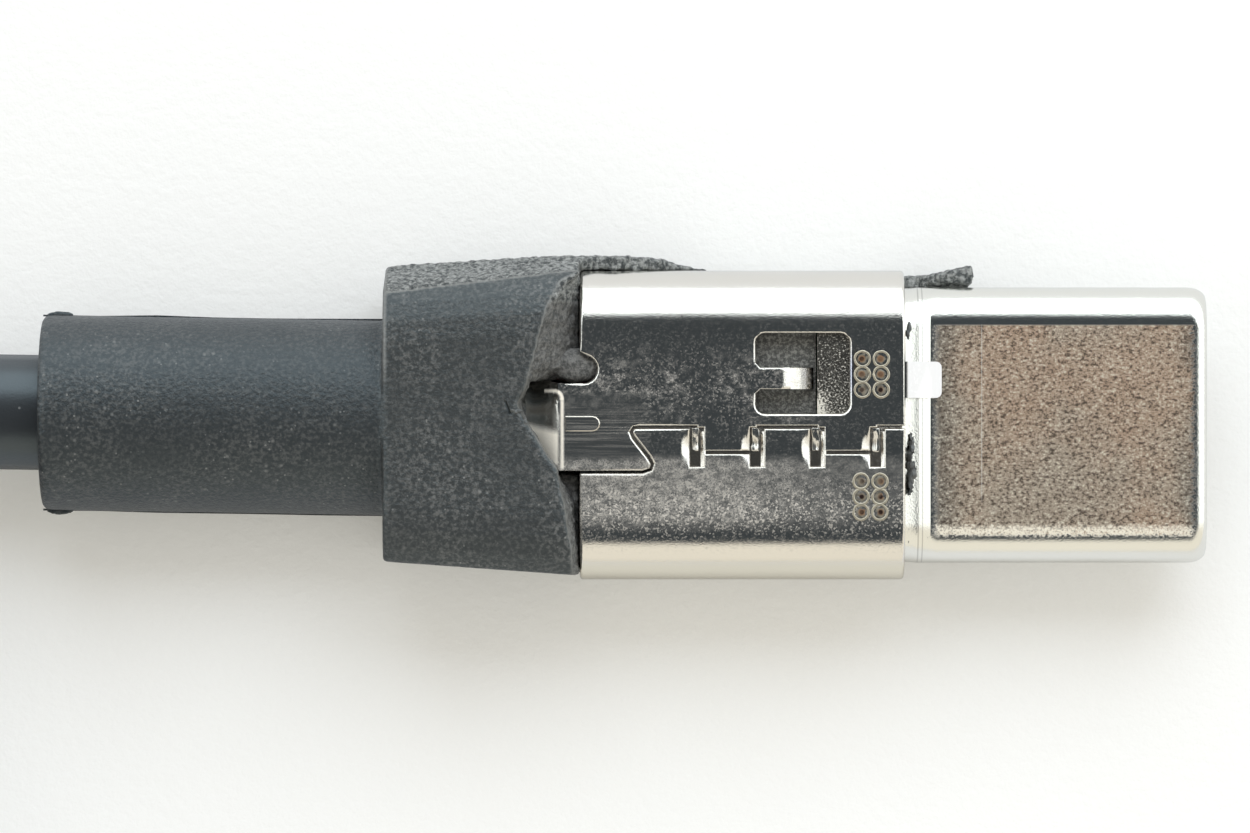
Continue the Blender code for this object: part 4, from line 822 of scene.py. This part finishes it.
def rawness(point, normal):
    """How raw the moulding is at a point: past the torn rim, or on the knife cut along its +Y side."""
    past_rim = ramp(point.x - torn_rim_x(point.y), -0.04 * MM, 0.05 * MM)
    knife_edge = 3.93 * MM + 0.12 * (point.x - relief_front_x)
    past_knife = ramp(point.y, knife_edge - 0.06 * MM, knife_edge + 0.04 * MM)
    slanted = past_knife * (point.x > relief_front_x + 0.1 * MM) * ramp(normal.z + normal.y, 0.2, 0.5)
    above_floor = ramp(point.z, 0.25 * MM, 0.5 * MM)
    return max(past_rim * above_floor, slanted * above_floor)


def round_relief(piece):
    """Puts the points of the strain relief's side on a true cylinder."""
    for vertex in piece.data.vertices:
        if relief_back_x + 0.3 * MM < vertex.co.x < relief_front_x - 0.15 * MM:
            out = Vector((0, vertex.co.y - relief_middle_y(vertex.co.x), vertex.co.z - axis_z))
            if abs(out.length - relief_radius) < 0.08 * MM:
                vertex.co += out * (relief_radius / out.length - 1)


def make_moulding(finish):
    """The rear of the moulding with its strain relief, raw and crumbly where it was cut or torn."""
    piece = copy_of("overmould", "torn_moulding")
    modify(piece, "REMESH", mode="VOXEL", voxel_size=0.085 * MM)
    modify(piece, "SMOOTH", factor=0.5, iterations=2)
    round_relief(piece)
    mark_torn(piece, rawness)
    group = piece.vertex_groups.new(name="torn")
    for vertex in piece.data.vertices:
        raw = piece.data.attributes["torn"].data[vertex.index].value
        group.add([vertex.index], raw * 0.9 + 0.05, "REPLACE")
    roughen(piece, "crumbs", 0.2 * MM, 0.2 * MM, depth=4, vertex_group="torn")
    modify(piece, "DECIMATE", ratio=0.66)
    smooth(piece, 60)
    return fit(piece, finish, ("overmould",))


def make_flash(finish):
    """The thin fin that the mould left along both sides of the strain relief, with a nub at its rear."""
    fins = []
    middle = (relief_back_x + relief_front_x) / 2
    nub_x = relief_back_x + 0.5 * MM
    for side in (1, -1):
        fin_spot = (middle, relief_middle_y(middle) + side * relief_radius, axis_z)
        fin_size = (relief_front_x - relief_back_x, 0.05 * MM, 0.05 * MM)
        fins.append(block(f"fin_{len(fins)}", fin_spot, fin_size, -math.atan(relief_lean)))
        nub_spot = (nub_x, relief_middle_y(nub_x) + side * relief_radius, axis_z)
        pick_none()
        bpy.ops.mesh.primitive_uv_sphere_add(segments=20, ring_count=10, radius=1, location=nub_spot)
        nub = added(f"nub_{len(fins)}")
        nub.scale = (0.40 * MM, 0.13 * MM, 0.06 * MM)
        fins.append(place(nub))
    piece = joined(fins, "parting_flash")
    editing(piece, everything=True)
    bpy.ops.mesh.subdivide(number_cuts=5)
    done(piece)
    roughen(piece, "ragged", 0.3 * MM, 0.1 * MM, direction="Y")
    mark_torn(piece, lambda point, normal: 0.0)
    smooth(piece, 60)
    return fit(piece, finish)


def make_crumb(finish):
    """The crumb of rubber left on the neck, with its rear end cut off flat."""
    piece = copy_of("rubber_scrap", "rubber_crumb")
    modify(piece, "REMESH", mode="VOXEL", voxel_size=0.045 * MM)
    roughen(piece, "grit", 0.22 * MM, 0.4 * MM, mid_level=0.76)
    editing(piece, everything=True)
    bpy.ops.mesh.bisect(plane_co=(0, -2.0 * MM, 0), plane_no=(0, 1, 0), clear_inner=True, use_fill=True)
    done(piece)
    mark_torn(piece, lambda point, normal: 0.25)
    smooth(piece, 60)
    return fit(piece, finish, ("rubber_scrap",))


def make_scraps(finish):
    """Small torn bits of rubber: in the can's notch, on the neck and at the tip of the tear."""
    # The middle and the half size of each, in mm
    scraps = (
        ((-1.42, 1.78, can_top_z / MM - 0.58), (0.78, 0.52, 0.42)),
        ((8.44, 2.8, 4.55), (0.08, 0.3, 0.12)),
        ((8.46, -3.3, 4.36), (0.05, 0.25, 0.1)),
        ((-3.25, 0.42, 6.06), (0.20, 0.07, 0.07)),
        ((-2.95, 0.08, 6.0), (0.07, 0.16, 0.08)),
    )
    bits = []
    for middle, half_size in scraps:
        spot = [part * MM for part in middle]
        pick_none()
        bpy.ops.mesh.primitive_ico_sphere_add(subdivisions=4, radius=1, location=spot)
        bit = added(f"bit_{len(bits)}")
        bit.scale = [part * MM for part in half_size]
        bits.append(place(bit))
    piece = joined(bits, "torn_bits")
    roughen(piece, "shreds", 0.16 * MM, 0.14 * MM)
    mark_torn(piece, lambda point, normal: 1.0 if point.x < -0.5 * MM and point.y > MM else 0.2)
    smooth(piece, 60)
    return fit(piece, finish)


# The metal

def outer_depth(point):
    """How far a point lies inside the can's outer face."""
    across = max(abs(point.y) - can_width / 2 + can_corner, 0.0)
    up = max(abs(point.z - axis_z) - can_height / 2 + can_corner, 0.0)
    flat_side = min(can_width / 2 - abs(point.y), can_height / 2 - abs(point.z - axis_z))
    return can_corner - math.hypot(across, up) if across > 0 and up > 0 else flat_side


def on_rim(edge):
    """True for an edge of the can's outer face along a cut, a slot, the window or an end."""
    first, second = (vertex.co for vertex in edge.verts)
    outside = outer_depth(first) < 0.02 * MM and outer_depth(second) < 0.02 * MM
    middle = (first + second) / 2
    along_x = abs(first.x - second.x) > 0.02 * MM
    tongue_end = tongue_root_x < middle.x < tongue_tip_x and abs(middle.y - tongue_y) < tongue_reach
    strip_end = middle.x < -1.8 * MM and not along_x
    on_rib = middle.x < -0.6 * MM and abs(middle.y) < 0.36 * MM
    sharp = edge.is_convex and edge.calc_face_angle(0.0) > math.radians(50)
    return outside and sharp and not tongue_end and not strip_end and not on_rib


def on_tab_corner(edge):
    first, second = (vertex.co for vertex in edge.verts)
    return min(first.x, second.x) > 9.4 * MM and abs(first.z - second.z) > 0.1 * MM


def make_can(finish):
    """The folded can, with a rolled edge along the seam, the slots, the window and both ends."""
    piece = copy_of("shield_can", "folded_can")
    editing(piece)
    pick_edges(piece, on_tab_corner)
    bpy.ops.mesh.bevel(offset=0.17 * MM, segments=5, affect="EDGES", clamp_overlap=False)
    bpy.ops.mesh.select_all(action="DESELECT")
    pick_edges(piece, on_rim)
    bpy.ops.mesh.bevel(offset=0.1 * MM, segments=4, affect="EDGES", clamp_overlap=False, loop_slide=True)
    done(piece)
    round_edges(piece, 0.03 * MM)
    return fit(piece, finish, ("shield_can",))


def make_seam_backing(finish):
    """The fold of sheet that lies under the seam and its slots, in a darker nickel that is painted shade
    under the seam.
    """
    spot = (3.6 * MM, -0.65 * MM, can_top_z - 0.165 * MM)
    piece = block("seam_backing", spot, (9.3 * MM, 1.3 * MM, 0.07 * MM))
    editing(piece, everything=True)
    bpy.ops.mesh.bevel(offset=0.02 * MM, segments=2, affect="EDGES")
    done(piece)
    smooth(piece, 40)
    return fit(piece, finish)


def make_lugs(finish):
    """The ragged lugs bent down into the upper half of each slot."""
    lugs = []
    for left in slot_lefts:
        spot = ((left + 0.15) * MM, -0.42 * MM, can_top_z - 0.17 * MM)
        lugs.append(block(f"lug_{len(lugs)}", spot, (0.2 * MM, 0.68 * MM, 0.2 * MM)))
    piece = joined(lugs, "seam_lugs")
    editing(piece, everything=True)
    bpy.ops.mesh.subdivide(number_cuts=6)
    done(piece)
    roughen(piece, "wavy", 0.2 * MM, 0.16 * MM)
    modify(piece, "SUBSURF", levels=1, render_levels=1)
    smooth(piece, 80)
    return fit(piece, finish)


def make_slot_cheeks(finish):
    """The bright edge at the right-hand side of each slot, sloping down into it."""
    cheeks = []
    for left in slot_lefts:
        spot = ((left + 0.385) * MM, -0.71 * MM, can_top_z - 0.09 * MM)
        cheek = block(f"cheek_{len(cheeks)}", spot, (0.15 * MM, 1.04 * MM, 0.1 * MM))
        slot_side = (left + 0.35) * MM
        editing(cheek)
        # Its upper edge on the slot's side goes down
        pick_edges(cheek, lambda edge: all(
            vertex.co.z > can_top_z - 0.05 * MM and vertex.co.x < slot_side for vertex in edge.verts))
        bpy.ops.transform.translate(value=(0.0, 0.0, -0.088 * MM))
        cheeks.append(done(cheek))
    piece = joined(cheeks, "slot_cheeks")
    smooth(piece, 20)
    return fit(piece, finish)


def shell_sections():
    """Outer sections of the front shell, from the can's front edge to the mouth: x, width, height in mm."""
    width, height = shell_width / MM, shell_height / MM
    mouth_x, lip_reach, lip_inset = 17.4, 0.54, 0.34
    sections = [(8.24, 8.2, 3.3), (8.6, 8.22, 2.95), (8.7, width, 2.88), (8.8, 8.26, 2.8)]
    sections += [(9.12, width, 2.46), (9.3, width, 2.415), (9.65, width, height)]
    for angle in range(0, 91, 15):
        inset = lip_inset * (1 - math.cos(math.radians(angle)))
        x = mouth_x - lip_reach * (1 - math.sin(math.radians(angle)))
        sections.append((x, width - 2 * inset, height - 2 * inset))
    return sections


def make_shell(finish):
    """The drawn front shell: its round outline is extruded and resized from section to section."""
    sections = shell_sections()
    x, neck_width, neck_height = (size * MM for size in sections[0])
    start = (x, 0, axis_z)
    pick_none()
    bpy.ops.mesh.primitive_plane_add(size=1, location=start, rotation=(0, math.pi / 2, 0))
    piece = added("front_shell_skin")
    piece.scale = (shell_height, shell_width, 1)
    place(piece)
    editing(piece, everything=True)
    bpy.ops.mesh.bevel(offset=shell_height / 2 * 0.9999, segments=18, affect="VERTICES", profile=0.5)
    bpy.ops.mesh.select_all(action="SELECT")
    bpy.ops.mesh.remove_doubles(threshold=merge_distance)
    bpy.ops.mesh.select_all(action="SELECT")
    bpy.ops.mesh.delete(type="ONLY_FACE")
    bpy.ops.mesh.select_all(action="SELECT")
    to_neck = (1, neck_width / shell_width, neck_height / shell_height)
    bpy.ops.transform.resize(value=to_neck, center_override=start)
    for (x0, width0, height0), (x1, width1, height1) in zip(sections, sections[1:]):
        step = ((x1 - x0) * MM, 0, 0)
        bpy.ops.mesh.extrude_edges_move(TRANSFORM_OT_translate={"value": step})
        growth = (1, width1 / width0, height1 / height0)
        bpy.ops.transform.resize(value=growth, center_override=(x1 * MM, 0, axis_z))
    bpy.ops.mesh.select_all(action="SELECT")
    bpy.ops.mesh.normals_make_consistent(inside=False)
    done(piece)
    modify(piece, "SOLIDIFY", thickness=shell_wall, offset=-1.0)
    smooth(piece, 19)
    return fit(piece, finish)


def make_skirt(finish):
    """The rear part of the front shell, which shows through the window of the can."""
    piece = copy_of("front_shell", "shell_skirt")
    editing(piece, everything=True)
    bpy.ops.mesh.bisect(plane_co=(8.26 * MM, 0, 0), plane_no=(1, 0, 0), clear_outer=True, use_fill=True)
    done(piece)
    round_edges(piece, 0.03 * MM)
    return fit(piece, finish, ("front_shell",))


def make_weld_spots(finish):
    """Twelve spots in two blocks, each a raised ring round a pit."""
    spots = [(column + shift, row) for shift, rows in weld_blocks for column in weld_columns for row in rows]
    parts = []
    for i, (x, y) in enumerate(spots):
        pick_none()
        bpy.ops.mesh.primitive_torus_add(
            location=(x * MM, y * MM, can_top_z - 0.008 * MM), major_segments=28, minor_segments=8,
            major_radius=0.225 * MM, minor_radius=0.04 * MM)
        parts.append(added(f"weld_ring_{i}"))
        pick_none()
        bpy.ops.mesh.primitive_uv_sphere_add(
            segments=16, ring_count=10, radius=1, location=(x * MM, y * MM, can_top_z - 0.012 * MM))
        pip = added(f"weld_pip_{i}")
        pip.scale = (0.2 * MM, 0.2 * MM, 0.02 * MM)
        parts.append(place(pip))
    piece = joined(parts, "weld_spots")
    roughen(piece, "uneven", 0.12 * MM, 0.035 * MM)
    smooth(piece, 60)
    return fit(piece, finish)


# The hank's tie and the far plug

def make_tie(finish):
    piece = copy_of("hank_tie", "tie_band")
    round_edges(piece, 0.25 * MM, 3)
    return fit(piece, finish, ("hank_tie",))


def make_far_plug(rubber, metal):
    moulding = copy_of("far_overmould", "far_moulding")
    round_edges(moulding, 0.25 * MM, 3, 50)
    mark_torn(moulding, lambda point, normal: 0.0)
    fit(moulding, rubber, ("far_overmould",))
    shell = copy_of("far_shell", "far_shell_skin")
    round_edges(shell, 0.04 * MM, 2)
    fit(shell, metal, ("far_shell",))


def dress_nodes():
    """Gives every solid that shows as it is a finish of its own."""
    gold = plain_metal("gold_plate", (0.86, 0.62, 0.26), 0.2)
    spring = plain_metal("spring_plate", (0.62, 0.61, 0.59), 0.28)
    braid = plain_metal("braid_wire", (0.62, 0.60, 0.57), 0.4, 0.02)
    black = plain_plastic("black_insulator", (0.014, 0.014, 0.016), 0.4)
    wires = {
        "wire_red": (0.45, 0.02, 0.02), "wire_black": (0.015, 0.015, 0.015),
        "wire_green": (0.02, 0.25, 0.07), "wire_white": (0.7, 0.7, 0.68),
    }
    looks = {
        "latch_plate": spring, "ground_spring_upper": spring, "ground_spring_lower": spring,
        "far_latch_left": spring, "far_latch_right": spring,
        "insulator": black, "far_insulator": black,
        "braided_core": braid, "inner_mould": mould_finish(), "paddle_card": card_finish(),
        "pull_down_resistor": plain_plastic("resistor_body", (0.02, 0.02, 0.02), 0.4),
        "supply_capacitor": plain_plastic("capacitor_body", (0.36, 0.25, 0.16), 0.4),
    }
    for name, colour in wires.items():
        looks[name] = plain_plastic(name + "_sleeve", colour, 0.35)
    for name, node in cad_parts.items():
        finish = gold if "contact" in name else looks.get(name)
        if finish:
            node.data.materials.clear()
            node.data.materials.append(finish)


def main():
    bpy.context.scene.view_settings.view_transform = "Standard"
    set_camera()
    set_light()
    lay_table()
    rubber = rubber_finish()
    can_metal = can_finish()
    shell_metal = shell_finish()
    cord = make_cord(jacket_finish())
    make_moulding(rubber)
    make_crumb(rubber)
    make_flash(rubber)
    make_scraps(rubber)
    make_can(can_metal)
    make_seam_backing(plain_metal("fold_in_painted_shade", (0.42, 0.38, 0.34), 0.3, 0.02))
    make_lugs(can_metal)
    make_slot_cheeks(can_metal)
    make_shell(shell_metal)
    make_skirt(skirt_finish())
    make_weld_spots(weld_finish())
    tie = make_tie(plain_plastic("tie_plastic", (0.03, 0.031, 0.033), 0.5, 0.02))
    make_far_plug(rubber, can_metal)
    dress_nodes()
    far_pieces = ["far_insulator", "far_latch_left", "far_latch_right"]
    far_pieces += [f"far_contact_{i}" for i in range(1, 6)]
    ([tie, bpy.data.objects["far_moulding"], bpy.data.objects["far_shell_skin"]]
        + [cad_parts[name] for name in far_pieces])


main()
